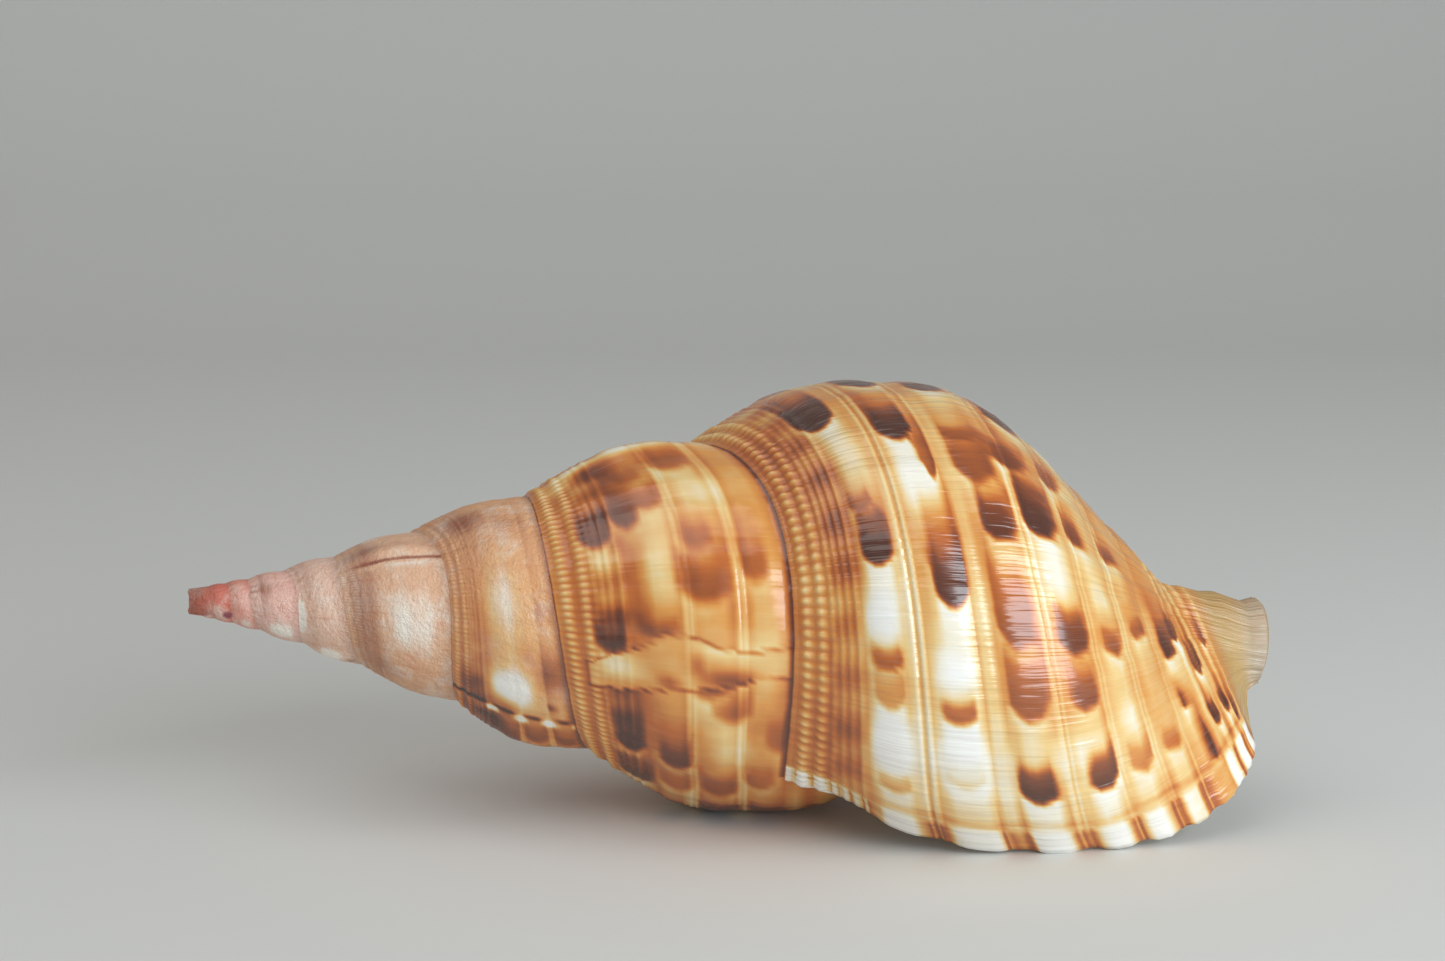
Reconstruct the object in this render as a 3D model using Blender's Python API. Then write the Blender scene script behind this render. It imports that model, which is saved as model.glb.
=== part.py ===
# Triton shell: one closed body, a coiled sheet with its aperture open.
# The shell is drawn in its own frame first, in millimetres: distance along the coiling axis from
# the virtual tip, radius from the axis, and angle about the axis.  The last step lays it down
# on its aperture and writes metres.
import math

import bmesh
import bpy
import numpy as np

TAU = 2.0 * math.pi

# Coil.  Turns are counted from the outer lip: 0 at the lip, -1 one whorl earlier.
LIP_ANGLE = 229.0          # degrees about the axis where the coil ends, 0 is the far side, 90 the top
SUTURE_ALONG = 138.7       # the suture's distance from the virtual tip at turn 0, without its wander
SUTURE_RADIUS = 45.8       # its radius there
GROWTH = 1.495             # size ratio from one whorl to the next
GROWTH_AT_LIP = 1.345      # the same past the lip, where growth slowed
GROWTH_SOFTNESS = 0.23     # turns over which the ratio changes
WANDER = (0.0, -0.007, 0.0, -0.040, -0.035, 0.016, -0.028, 0.052)  # suture off the spiral, eighths of two turns
FIRST_TURN = -8.0          # the broken tip
TIP = (2.7, 2.9)            # the worn end: along and radius
CLOSE_TURN = -3.6          # where the hollow ends inside
SLIM_AT = (-8.0, -7.0, -6.0, -5.0, -4.0, -3.0, -1.8, -0.25, 0.0, 0.25)  # turns at which the radius is adjusted
SLIM_BY = (1.75, 1.36, 1.10, 0.97, 0.93, 0.95, 1.0, 1.0, 0.95, 1.0)     # and by how much
BULGE_AT = (-8.0, -3.0, -2.0, -1.45, -1.15, -0.97, -0.83, -0.6, 0.0)
BULGE_BY = (0.070, 0.072, 0.075, 0.088, 0.085, 0.050, 0.195, 0.125, 0.122)  # outward bulge over the chord

# Profile across one whorl: share 0 at its upper suture, SHARE_SUTURE where the next whorl
# covers it, 1 at the end of the siphonal canal.
SHARE_SUTURE = 0.46
BULGE_SKEW = 1.045
BULGE_FALL = 0.30
BASE_REACH = 1.50
BASE_PULL = (228.0, -4.5)   # the point that draws the base in toward the canal, along and radius
CANAL_END = (256.0, 11.0)   # along and radius
PILLAR_END = (246.0, 4.0)   # the columella, one turn in
CANAL_BEND = (222.0, -1.0, -3.4)  # from this far along, the canal leans this much, sideways and up
CURL = (-1.05, -0.75)       # turns over which the canal wall curls in to the columella

# Outer lip edge in its own meridional plane: share, along, radius.
LIP_EDGE = (
    (0.00, 138.5, 43.5), (0.08, 149.0, 46.6), (0.16, 160.0, 53.0), (0.26, 173.5, 58.2),
    (0.36, 187.5, 60.2), (0.46, 201.5, 60.4), (0.56, 215.5, 59.0), (0.66, 230.0, 55.0),
    (0.75, 241.0, 48.5), (0.82, 249.0, 40.0), (0.87, 252.0, 32.5), (0.915, 252.0, 22.6),
    (0.95, 252.5, 14.5), (1.00, 256.0, 11.0),
)
LIP_BLEND = 0.085           # turns over which the last whorl opens into the lip
SCALLOPS = 1.1              # height of the scallops along the lip edge
SCALLOP_PITCH = 0.033       # their spacing, in profile share

# Varices, the thick former lips: turn, height as a share of the whorl's chord.
VARICES = ((-0.682, 0.055), (-1.364, 0.050), (-1.936, 0.050), (-2.61, 0.045), (-3.29, 0.050), (-3.96, 0.040))
VARIX_BEHIND = 0.032
VARIX_AHEAD = 0.016

# Flat spiral cords: share at each cord's middle on the last whorl and on the one before, half
# width, height in mm on the last whorl.
CORDS = (
    (0.200, 0.222, 0.044, 0.75), (0.331, 0.312, 0.050, 0.85), (0.459, 0.412, 0.042, 0.85),
    (0.563, 0.540, 0.031, 0.80), (0.640, 0.622, 0.026, 0.75), (0.708, 0.695, 0.022, 0.65),
    (0.770, 0.762, 0.018, 0.55),
)

# Aperture
WALL = 2.6                  # thickness on the last whorl
CALLUS = 0.8                # glaze over the columella side
TUCK = 0.7                  # how far the inside dips under the whorl before where it meets the suture
COLUMELLA_EDGE = 0.80       # turns behind the lip where the inner lip ends at the canal
CHANNEL_END = -0.60         # where the canal's channel meets the columella
NECK_SHARE = 0.80           # profile share where the canal begins
INNER_START = 0.045         # share at which the inside starts below the suture

# Rest: the shell lies on its aperture.
ROLL = -2.0                 # degrees about the axis
PITCH = 2.5                 # degrees, canal end down
SHIFT = (-129.44, 3.91, 53.79)  # millimetres, from the virtual tip to the middle of the footprint
MM = 0.001

# Mesh density
COLUMNS = 36
WHORL_ROWS = {-1: 18, -2: 12, -3: 9, -4: 7, -5: 5, -6: 4, -7: 3, -8: 3}
BASE_ROWS = 17
INNER_COLUMNS = 24
RING_COLUMNS = 18


def log_growth(turn):
    """Natural log of the size at this turn, against the size at the lip."""
    slow = (math.log(GROWTH) - math.log(GROWTH_AT_LIP)) * GROWTH_SOFTNESS
    return math.log(GROWTH) * turn - slow * np.logaddexp(0.0, turn / GROWTH_SOFTNESS) + slow * math.log(2.0)


def wander(turn):
    """Smooth periodic curve through WANDER, by cubic pieces, that fades out past the lip."""
    knots = np.array(WANDER)
    at = np.mod(turn, 2.0) * 4.0
    i = np.floor(at).astype(int)
    t = at - i
    p0, p1, p2, p3 = (knots[(i + k) % 8] for k in (-1, 0, 1, 2))
    curve = 0.5 * (2 * p1 + (p2 - p0) * t + (2 * p0 - 5 * p1 + 4 * p2 - p3) * t ** 2
                   + (3 * p1 - p0 - 3 * p2 + p3) * t ** 3)
    return curve / (1.0 + np.exp((turn - 0.15) / 0.05))


def suture(turn):
    """Along and radius of the suture."""
    size = np.exp(log_growth(turn))
    off = wander(turn)
    slim = np.interp(turn, SLIM_AT, SLIM_BY)
    return np.stack([SUTURE_ALONG * size * (1 + off), SUTURE_RADIUS * size * (1 + 0.5 * off) * slim], -1)


def smooth(low, high, value):
    t = np.clip((value - low) / (high - low), 0.0, 1.0)
    return t * t * (3.0 - 2.0 * t)


def varix(turn):
    total = np.zeros_like(turn)
    for at, height in VARICES:
        d = turn - at
        width = np.where(d < 0, VARIX_BEHIND, VARIX_AHEAD)
        total = total + height * np.exp(-(d / width) ** 2)
    return total


def profile(turn, share):
    """Along and radius on the coiled sheet, without relief."""
    turn, share = np.broadcast_arrays(np.asarray(turn, float), np.asarray(share, float))
    start = suture(turn)
    end = suture(turn + 1.0)
    chord = end - start
    length = np.linalg.norm(chord, axis=-1, keepdims=True)
    out = np.stack([-chord[..., 1], chord[..., 0]], -1) / length
    u = np.clip(share / SHARE_SUTURE, 0.0, 1.0)
    bulge = np.interp(turn, BULGE_AT, BULGE_BY)
    swell = bulge * np.sin(math.pi * u ** BULGE_SKEW) * (1 - BULGE_FALL * u ** 4)
    swell = swell + varix(turn) * np.sin(math.pi * u) ** 0.75
    whorl = start + chord * u[..., None] + out * length * swell[..., None]

    # The base is a cubic from the covered suture to the canal.
    slope = -math.pi * BULGE_SKEW * (1 - BULGE_FALL) * bulge
    leave = chord + out * length * slope[..., None]
    inner = 1.0 - smooth(CURL[0], CURL[1], turn)
    size = np.exp(np.minimum(log_growth(turn) - log_growth(np.float64(-0.42)), 0.0))
    back = np.exp(math.log(GROWTH) * np.minimum(turn - CURL[0], 0.0))
    tip_a = (CANAL_END[0] * (1 - inner) + PILLAR_END[0] * inner) * back
    tip_r = (CANAL_END[1] * (1 - inner) + PILLAR_END[1] * inner) * back
    p0 = end
    p1 = end + leave * BASE_REACH / 3.0
    p2 = np.stack([BASE_PULL[0] * size, BASE_PULL[1] * (1 - inner) + 1.5 * inner], -1)
    p3 = np.stack([tip_a, tip_r], -1)
    w = np.clip((share - SHARE_SUTURE) / (1.0 - SHARE_SUTURE), 0.0, 1.0)[..., None]
    base = p0 * (1 - w) ** 3 + 3 * p1 * w * (1 - w) ** 2 + 3 * p2 * w ** 2 * (1 - w) + p3 * w ** 3
    return np.where((share <= SHARE_SUTURE)[..., None], whorl, base)


def lip_curve(share):
    """Along and radius of the outer lip's edge, a smooth curve through LIP_EDGE."""
    knots = np.array(LIP_EDGE)
    tangent = np.gradient(knots[:, 1:], knots[:, 0], axis=0)
    i = np.clip(np.searchsorted(knots[:, 0], share, side="right") - 1, 0, len(knots) - 2)
    step = (knots[i + 1, 0] - knots[i, 0])[..., None]
    t = (share[..., None] - knots[i, 0][..., None]) / step
    return (knots[i, 1:] * (2 * t ** 3 - 3 * t ** 2 + 1) + tangent[i] * step * (t ** 3 - 2 * t ** 2 + t)
            + knots[i + 1, 1:] * (3 * t ** 2 - 2 * t ** 3) + tangent[i + 1] * step * (t ** 3 - t ** 2))


def sheet(turn, share):
    """The coiled sheet with its last part opened into the lip."""
    turn, share = np.broadcast_arrays(np.asarray(turn, float), np.asarray(share, float))
    plain = profile(turn, share)
    opened = lip_curve(share) - profile(np.zeros_like(turn), share)
    near = np.exp(np.minimum(turn, 0.0) / LIP_BLEND) * smooth(-0.6, -0.25, turn)
    return plain + opened * near[..., None]


def outward(turn, share):
    """Unit normal of the profile in its meridional plane, away from the axis."""
    step = 0.002
    ahead = sheet(turn, np.minimum(share + step, 1.0))
    behind = sheet(turn, np.maximum(share - step, 0.0))
    run = ahead - behind
    out = np.stack([-run[..., 1], run[..., 0]], -1)
    return out / np.linalg.norm(out, axis=-1, keepdims=True)


def relief(turn, share):
    """Height of the flat cords, on every whorl where they still show."""
    total = np.zeros(np.broadcast(turn, share).shape)
    for middle, before, half, height in CORDS:
        d = (share - middle - (before - middle) * np.clip(-0.15 - turn, 0.0, 1.0)) / half
        total = total + height * np.exp(-d ** 4)
    size = np.exp(log_growth(turn))
    return total * size * smooth(-5.0, -2.0, turn)


def outside(turn, share):
    """Points of the outer skin, in the shell's own frame."""
    turn, share = np.broadcast_arrays(np.asarray(turn, float), np.asarray(share, float))
    at = sheet(turn, share) + outward(turn, share) * relief(turn, share)[..., None]
    scallop = np.cos(TAU * share / SCALLOP_PITCH) * smooth(-0.022, 0.0, turn) * smooth(0.02, 0.1, share)
    scallop = SCALLOPS * scallop * (1 - smooth(0.88, 0.95, share))
    at = at + outward(turn, share) * scallop[..., None]
    return around(turn, at)


def around(turn, at):
    """From along and radius at a turn to x, y, z."""
    angle = np.radians(LIP_ANGLE) + TAU * turn
    lean = smooth(CANAL_BEND[0], CANAL_END[0], at[..., 0]) * smooth(40.0, 16.0, at[..., 1])
    y = at[..., 1] * np.cos(angle) + CANAL_BEND[1] * lean
    z = at[..., 1] * np.sin(angle) + CANAL_BEND[2] * lean
    return np.stack([at[..., 0], y, z], -1)


def inside_wall(turn, share):
    """The wall's inner face."""
    turn, share = np.broadcast_arrays(np.asarray(turn, float), np.asarray(share, float))
    size = np.exp(np.minimum(log_growth(turn), 0.0))
    thick = WALL * size * (1 - 0.25 * smooth(0.75, 0.95, share))
    return around(turn, sheet(turn, share) - outward(turn, share) * thick[..., None])


def inside_pillar(turn, share, rise):
    """The face of the whorl before, under its glaze. At the suture it dips, so it stays inside the wall."""
    turn, share = np.broadcast_arrays(np.asarray(turn, float), np.asarray(share, float))
    size = np.exp(np.minimum(log_growth(turn + 1.0), 0.0))
    clear = smooth(SHARE_SUTURE, SHARE_SUTURE + 0.04, share)
    thick = (CALLUS * clear - TUCK * (1.0 - clear)) * size * rise
    return around(turn, sheet(turn, share) + outward(turn, share) * thick[..., None])


class Builder:
    """Collects points and triangles."""

    def __init__(self):
        self.points = []
        self.count = 0
        self.triangles = []

    def add(self, points):
        first = self.count
        self.points.append(points.reshape(-1, 3))
        self.count += len(self.points[-1])
        return np.arange(first, self.count).reshape(points.shape[:-1])

    def strip(self, one, two, at_one, at_two):
        """Triangles between two lines of points, stepping along whichever line is behind."""
        mid_one = (at_one[1:] + at_one[:-1]) / 2
        mid_two = (at_two[1:] + at_two[:-1]) / 2
        k = np.searchsorted(mid_two, mid_one, side="left")
        self.triangles.append(np.stack([one[:-1], one[1:], two[k]], -1))
        k = np.searchsorted(mid_one, mid_two, side="right")
        self.triangles.append(np.stack([one[k], two[1:], two[:-1]], -1))


def rows_of(column_turn):
    return WHORL_ROWS[int(math.floor(column_turn + 1e-6))]


def build():
    made = Builder()
    total = int(round(-FIRST_TURN * COLUMNS))
    turns = -np.arange(total, -1, -1) / COLUMNS
    base_share = SHARE_SUTURE + (1 - SHARE_SUTURE) * np.linspace(0, 1, BASE_ROWS + 1)

    # Whorls: each column's last point is the first point of the column one turn on.
    whorl = []
    share_of = []
    suture_point = {}
    for i, turn in enumerate(turns):
        count = rows_of(turn) if turn < 0 else WHORL_ROWS[-1]
        share = SHARE_SUTURE * np.linspace(0, 1, count + 1)
        if i not in suture_point:
            suture_point[i] = int(made.add(outside(turn, share[:1]))[0])
        inner = made.add(outside(turn, share[1:-1]))
        if turn + 1.0 > 1e-6:
            last = -1
        else:
            last = int(made.add(outside(turn, share[-1:]))[0])
            suture_point[i + COLUMNS] = last
        whorl.append([suture_point[i], *inner, last])
        share_of.append(share)
    last_turn = total - COLUMNS

    # Base and canal of the last whorl: columns run from the columella edge to the lip.
    edge = -1.0 + (1.0 - COLUMELLA_EDGE) * smooth(0.0, 1.0, (base_share - SHARE_SUTURE) / (1 - SHARE_SUTURE))
    across = np.linspace(0, 1, COLUMNS + 1)
    base_turn = edge[None, :] * (1 - across[:, None])
    base = made.add(outside(base_turn[:, 1:], base_share[None, 1:]))
    top = np.zeros(COLUMNS + 1, int)
    for j in range(COLUMNS + 1):
        i = last_turn + j
        if j == 0:
            top[j] = whorl[i][-1] if whorl[i][-1] >= 0 else suture_point[total]
        else:
            top[j] = int(made.add(outside(turns[i], base_share[:1]))[0])
        whorl[i][-1] = top[j]
    # The lip's suture point is the corner where the last whorl leaves the one before.
    whorl[last_turn][-1] = suture_point[total]
    top[0] = suture_point[total]
    base = np.concatenate([top[:, None], base], axis=1)

    for i in range(total):
        one, two = np.array(whorl[i]), np.array(whorl[i + 1])
        made.strip(one, two, share_of[i] / SHARE_SUTURE, share_of[i + 1] / SHARE_SUTURE)
    for j in range(COLUMNS):
        made.strip(base[j], base[j + 1], base_share, base_share)

    # Broken tip: the first whorl's edge and its upper side close on one point.
    rim = [whorl[i][0] for i in range(0, COLUMNS)]
    mouth = whorl[0][::-1]
    loop = np.array(rim + mouth[:-1])
    turn = FIRST_TURN + np.arange(COLUMNS) / COLUMNS
    worn = np.stack([TIP[0] + 0.5 * np.cos(3 * TAU * turn), np.full(COLUMNS, TIP[1])], -1)
    worn = made.add(around(turn, worn))
    ring = np.append(worn, worn[0])
    ring_at = np.linspace(0, 1, COLUMNS + 1)
    loop_at = np.concatenate([np.arange(COLUMNS) / COLUMNS, np.linspace(1 - 0.5 / COLUMNS, 1, len(mouth))])
    made.strip(np.append(loop, loop[0]), ring, loop_at, ring_at)
    centre = made.add(np.array([TIP[0] + 0.6, 0.0, 0.0])[None])
    made.triangles.append(np.stack([ring[:-1], ring[1:], np.full(COLUMNS, centre[0])], -1))

    # Inside, open part: the outer wall's inner face and the columella's face, from the lip inward.
    wall_share = np.concatenate([np.linspace(INNER_START, NECK_SHARE, 17), np.linspace(NECK_SHARE, 1, 5)[1:]])
    opened = int(round(-CHANNEL_END * INNER_COLUMNS))
    depth = np.linspace(0, -CHANNEL_END, opened + 1)
    wall = made.add(inside_wall(-depth[:, None], wall_share[None, :]))
    pillar_turn = edge[None, :] + (CHANNEL_END - 1.0 - edge[None, :]) * (depth[:, None] / -CHANNEL_END)
    rise = smooth(0.0, 0.10, depth)[:, None]
    pillar = made.add(inside_pillar(pillar_turn[1:], base_share[None, :], rise[1:]))
    pillar = np.concatenate([base[:1], pillar], axis=0)
    for k in range(opened):
        made.strip(wall[k], wall[k + 1], wall_share, wall_share)
        made.strip(pillar[k], pillar[k + 1], base_share, base_share)
        made.triangles.append(np.array([[wall[k][0], wall[k + 1][0], pillar[k + 1][0]],
                                        [wall[k][0], pillar[k + 1][0], pillar[k][0]]]))

    # Thickness of the lip, then of the canal's end.
    lip_share = np.concatenate([share_of[total], base_share[1:]])
    lip = np.concatenate([np.array(whorl[total]), base[COLUMNS][1:]])
    made.strip(lip, wall[0], lip_share, wall_share)
    end_outer = base[::-1, -1]
    end_inner = np.concatenate([wall[:, -1], pillar[::-1, -1]])
    outer_at = across
    inner_at = np.concatenate([depth / COLUMELLA_EDGE, np.linspace(0.78, 1.0, opened + 1)])
    made.strip(end_outer, end_inner[:-1], outer_at, inner_at[:-1])

    # Where the channel meets the columella: a flat wall from the neck to the canal's end.
    neck = 16
    fan = wall[opened][neck:]
    tip = np.full(len(fan) - 1, pillar[opened][-1])
    made.triangles.append(np.stack([fan[:-1], fan[1:], tip], -1))

    # Inside, closed part: rings that follow the coil up to the closing wall.
    ring_share = np.linspace(INNER_START, NECK_SHARE, 10)
    back_share = SHARE_SUTURE + (1 - SHARE_SUTURE) * np.linspace(0, 1, 8)
    steps = int(round((CHANNEL_END - CLOSE_TURN) * RING_COLUMNS))
    turns_in = np.linspace(CHANNEL_END, CLOSE_TURN, steps + 1)[1:, None]
    wall_in = made.add(inside_wall(turns_in, ring_share[None, :]))
    pillar_in = made.add(inside_pillar(turns_in - 1.0, back_share[None, :], np.ones((1, 1))))
    first_at = np.concatenate([wall_share[:neck + 1], 3 - base_share[::-1], [3.0]])
    ring_at = np.concatenate([ring_share, 3 - back_share[::-1], [3.0]])
    rings = np.concatenate([wall_in, pillar_in[:, ::-1], wall_in[:, :1]], axis=1)
    first = np.concatenate([wall[opened][:neck + 1], pillar[opened][::-1], wall[opened][:1]])
    made.strip(first, rings[0], first_at, ring_at)
    for k in range(steps - 1):
        made.strip(rings[k], rings[k + 1], ring_at, ring_at)
    loop = rings[-1]
    centre = made.add(middle_of(made, loop[:-1])[None])
    made.triangles.append(np.stack([loop[:-1], loop[1:], np.full(len(loop) - 1, centre[0])], -1))
    return np.concatenate(made.points), np.concatenate(made.triangles)


def middle_of(made, index):
    points = np.concatenate(made.points)
    return points[index].mean(axis=0)


def laid_down(points):
    """From the shell's frame to the resting pose, in metres."""
    roll, pitch = math.radians(ROLL), math.radians(PITCH)
    y = points[:, 1] * math.cos(roll) - points[:, 2] * math.sin(roll)
    z = points[:, 1] * math.sin(roll) + points[:, 2] * math.cos(roll)
    x = points[:, 0] * math.cos(pitch) + z * math.sin(pitch)
    z = -points[:, 0] * math.sin(pitch) + z * math.cos(pitch)
    at = np.stack([x, y, z], -1) + np.array(SHIFT)
    # The two places it stands on are worn flat.
    at[:, 2] = np.maximum(at[:, 2], 0.0)
    return at * MM


def new_collection(name):
    made = bpy.data.collections.new(name)
    bpy.context.scene.collection.children.link(made)
    return made


for old in list(bpy.data.objects):
    bpy.data.objects.remove(old, do_unlink=True)

group = new_collection("triton_shell")
points, triangles = build()
mesh = bpy.data.meshes.new("shell")
mesh.from_pydata(laid_down(points).tolist(), [], triangles.tolist())
mesh.validate()
work = bmesh.new()
work.from_mesh(mesh)
bmesh.ops.recalc_face_normals(work, faces=work.faces)
if work.calc_volume(signed=True) < 0:
    bmesh.ops.reverse_faces(work, faces=work.faces)
work.to_mesh(mesh)
work.free()

glaze = bpy.data.materials.new("shell")
glaze.use_nodes = True
surface = glaze.node_tree.nodes["Principled BSDF"]
surface.inputs["Base Color"].default_value = (0.72, 0.46, 0.26, 1.0)
surface.inputs["Roughness"].default_value = 0.35
mesh.materials.append(glaze)

shell = bpy.data.objects.new("shell", mesh)
group.objects.link(shell)
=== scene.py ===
# %% [markdown]
# # A triton shell
#
# A triton is a large sea snail. Its shell is one sheet of lime, coiled round an axis: each turn is
# called a whorl, the line where two whorls meet is the suture, the opening is the aperture and the
# spout at its front is the siphonal canal. It could be sculpted, but a snail works by rule, so this
# lesson does too. It builds the sheet as a function of two numbers, how far round the coil a point
# is and how far across the sheet, and then paints it with the same two numbers. Lengths are in
# millimetres until the shell is laid down.

# %% Modules and the frame
import math

import bmesh
import bpy
import numpy as np
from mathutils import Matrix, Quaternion, Vector


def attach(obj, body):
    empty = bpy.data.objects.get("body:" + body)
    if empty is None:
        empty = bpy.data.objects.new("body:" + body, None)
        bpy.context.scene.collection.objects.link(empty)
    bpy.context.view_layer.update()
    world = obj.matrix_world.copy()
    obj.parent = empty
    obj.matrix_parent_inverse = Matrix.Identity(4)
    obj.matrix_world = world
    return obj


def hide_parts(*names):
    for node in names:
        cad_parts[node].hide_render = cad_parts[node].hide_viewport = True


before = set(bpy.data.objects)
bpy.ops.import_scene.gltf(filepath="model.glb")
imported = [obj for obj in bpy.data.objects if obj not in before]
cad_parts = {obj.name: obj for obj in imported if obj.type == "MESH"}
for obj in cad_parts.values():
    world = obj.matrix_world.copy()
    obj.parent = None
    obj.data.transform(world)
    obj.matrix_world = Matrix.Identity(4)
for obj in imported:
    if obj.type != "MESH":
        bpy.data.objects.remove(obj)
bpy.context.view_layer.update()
TAU = 2.0 * math.pi

# %% [markdown]
# ## The coil
#
# A snail adds shell at the lip only, and always in proportion, so the suture is a spiral whose
# distance from the tip and from the axis both grow by one ratio each whorl. Blender's Screw modifier
# turns a profile round an axis but can't make it grow, so the spiral is written as a formula. `turn`
# counts whorls back from the lip: 0 at the lip, -1 one whorl earlier. A real shell isn't perfect, so
# a gentle wander is added, and the ratio falls a little at the lip.

# %% The spiral of the suture
LIP_ANGLE = 229.0        # degrees about the axis where the coil ends: 0 is the far side, 90 the top
SUTURE_ALONG = 138.7     # from the virtual tip to the suture at turn 0
SUTURE_RADIUS = 45.8     # the suture's distance from the axis there
GROWTH = 1.495           # size ratio from one whorl to the next
GROWTH_AT_LIP = 1.345    # the same past the lip
GROWTH_SOFTNESS = 0.23   # turns over which the ratio changes
# Eight offsets over two turns, as parts of the distance along the axis.
WANDER = (0.0, -0.007, 0.0, -0.040, -0.035, 0.016, -0.028, 0.052)
FIRST_TURN = -8          # the broken tip
# The coil isn't quite even: turns, and the suture's radius there against the plain spiral's.
RADIUS_AT = (-8.0, -7.0, -6.0, -5.0, -4.0, -3.0, -1.8, -0.25, 0.0, 0.25)
RADIUS_BY = (1.75, 1.36, 1.10, 0.97, 0.93, 0.95, 1.0, 1.0, 0.95, 1.0)


def smooth(low, high, value):
    """0 below low, 1 above high, and the S-curve 3t^2 - 2t^3 between them."""
    t = np.clip((value - low) / (high - low), 0.0, 1.0)
    return t * t * (3.0 - 2.0 * t)


def bell(value, middle, width):
    """1 at middle and fading to both sides: exp of minus the squared distance in widths."""
    return np.exp(-((value - middle) / width) ** 2)


def paired(turn, share):
    """Both numbers as arrays of one shape, so that either may be a single value."""
    return np.broadcast_arrays(np.asarray(turn, float), np.asarray(share, float))


def log_growth(turn):
    """Natural log of the size at this turn against the lip: a straight line that bends at the lip."""
    slow = (math.log(GROWTH) - math.log(GROWTH_AT_LIP)) * GROWTH_SOFTNESS
    return math.log(GROWTH) * turn - slow * np.logaddexp(0.0, turn / GROWTH_SOFTNESS) + slow * math.log(2.0)


def wander(turn):
    """A smooth curve through WANDER, which repeats every two turns: cubic pieces between its knots."""
    knots = np.array(WANDER)
    at = np.mod(turn, 2.0) * 4.0
    i = np.floor(at).astype(int)
    t = at - i
    p0, p1, p2, p3 = (knots[(i + k) % 8] for k in (-1, 0, 1, 2))
    curve = 0.5 * (2 * p1 + (p2 - p0) * t + (2 * p0 - 5 * p1 + 4 * p2 - p3) * t ** 2
                   + (3 * p1 - p0 - 3 * p2 + p3) * t ** 3)
    return curve / (1.0 + np.exp((turn - 0.15) / 0.05))


def suture(turn):
    """Distance along the axis and radius of the suture: both are their value at the lip times the size."""
    size = np.exp(log_growth(turn))
    off = wander(turn)
    uneven = np.interp(turn, RADIUS_AT, RADIUS_BY)
    return np.stack([SUTURE_ALONG * size * (1 + off), SUTURE_RADIUS * size * (1 + 0.5 * off) * uneven], -1)


print("suture radius at each turn, mm:", np.round(suture(np.arange(-8.0, 1.0))[:, 1], 1))

# %% [markdown]
# ## The sheet across one whorl
#
# `share` runs across the sheet: 0 at the suture above, 0.46 where the next whorl covers it, and 1
# at the end of the canal. A drawn profile curve would do for one whorl, but it has to change from
# the slim spire to the broad body, so it is made of simple parts whose sizes follow the turn. Down
# to 0.46 the sheet is the straight line between two sutures, pushed out by a half sine. Below that
# it is the base, one cubic curve that runs in to the canal. Every two thirds of a whorl or so the
# animal rested and built a thick lip, a varix, which stays on as a low ridge.

# %% Varices
# Turn and height, as a part of the whorl's width.
VARICES = (
    (-0.682, 0.055), (-1.364, 0.05), (-1.936, 0.05), (-2.61, 0.045), (-3.29, 0.05), (-3.96, 0.04),
)
VARIX_BEHIND, VARIX_AHEAD = 0.032, 0.016    # half widths in turns


def varix(turn):
    """Sum of bells at the former lips, each steeper ahead than behind."""
    total = np.zeros_like(turn)
    for at, height in VARICES:
        total = total + height * bell(turn, at, np.where(turn < at, VARIX_BEHIND, VARIX_AHEAD))
    return total


print("turns between varices:", np.round(-np.diff([at for at, height in VARICES]), 2))

# %% Profile of a whorl
SHARE_SUTURE = 0.46                  # where the next whorl covers this one
# How far the whorl bulges out at these turns, as a part of its width.
BULGE_AT = (-8.0, -3.0, -2.0, -1.45, -1.15, -0.97, -0.83, -0.6, 0.0)
BULGE_BY = (0.070, 0.072, 0.075, 0.088, 0.085, 0.050, 0.195, 0.125, 0.122)
# The top of the bulge lies a little below the middle, and its foot is flatter.
BULGE_SKEW, BULGE_FALL = 1.045, 0.30
BASE_REACH = 1.50                    # how far the base keeps to the whorl's direction
BASE_PULL = (228.0, -4.5)            # the point that draws the base in toward the canal, along and radius
PULL_SETTLES = -0.42                 # turn from which that point no longer moves with the coil
PULL_RADIUS_INSIDE = 1.5             # its radius at the columella
CANAL_END = (256.0, 11.0)
PILLAR_END = (246.0, 4.0)            # the columella, one turn in
CANAL_SWELL = (2.0, 0.942, 0.026)    # mm, share of the middle, half width in share
BASE_SINK = (2.6, 0.845, 0.034)
CURL = (-1.05, -0.75)                # turns over which the canal wall curls in to the columella


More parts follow.
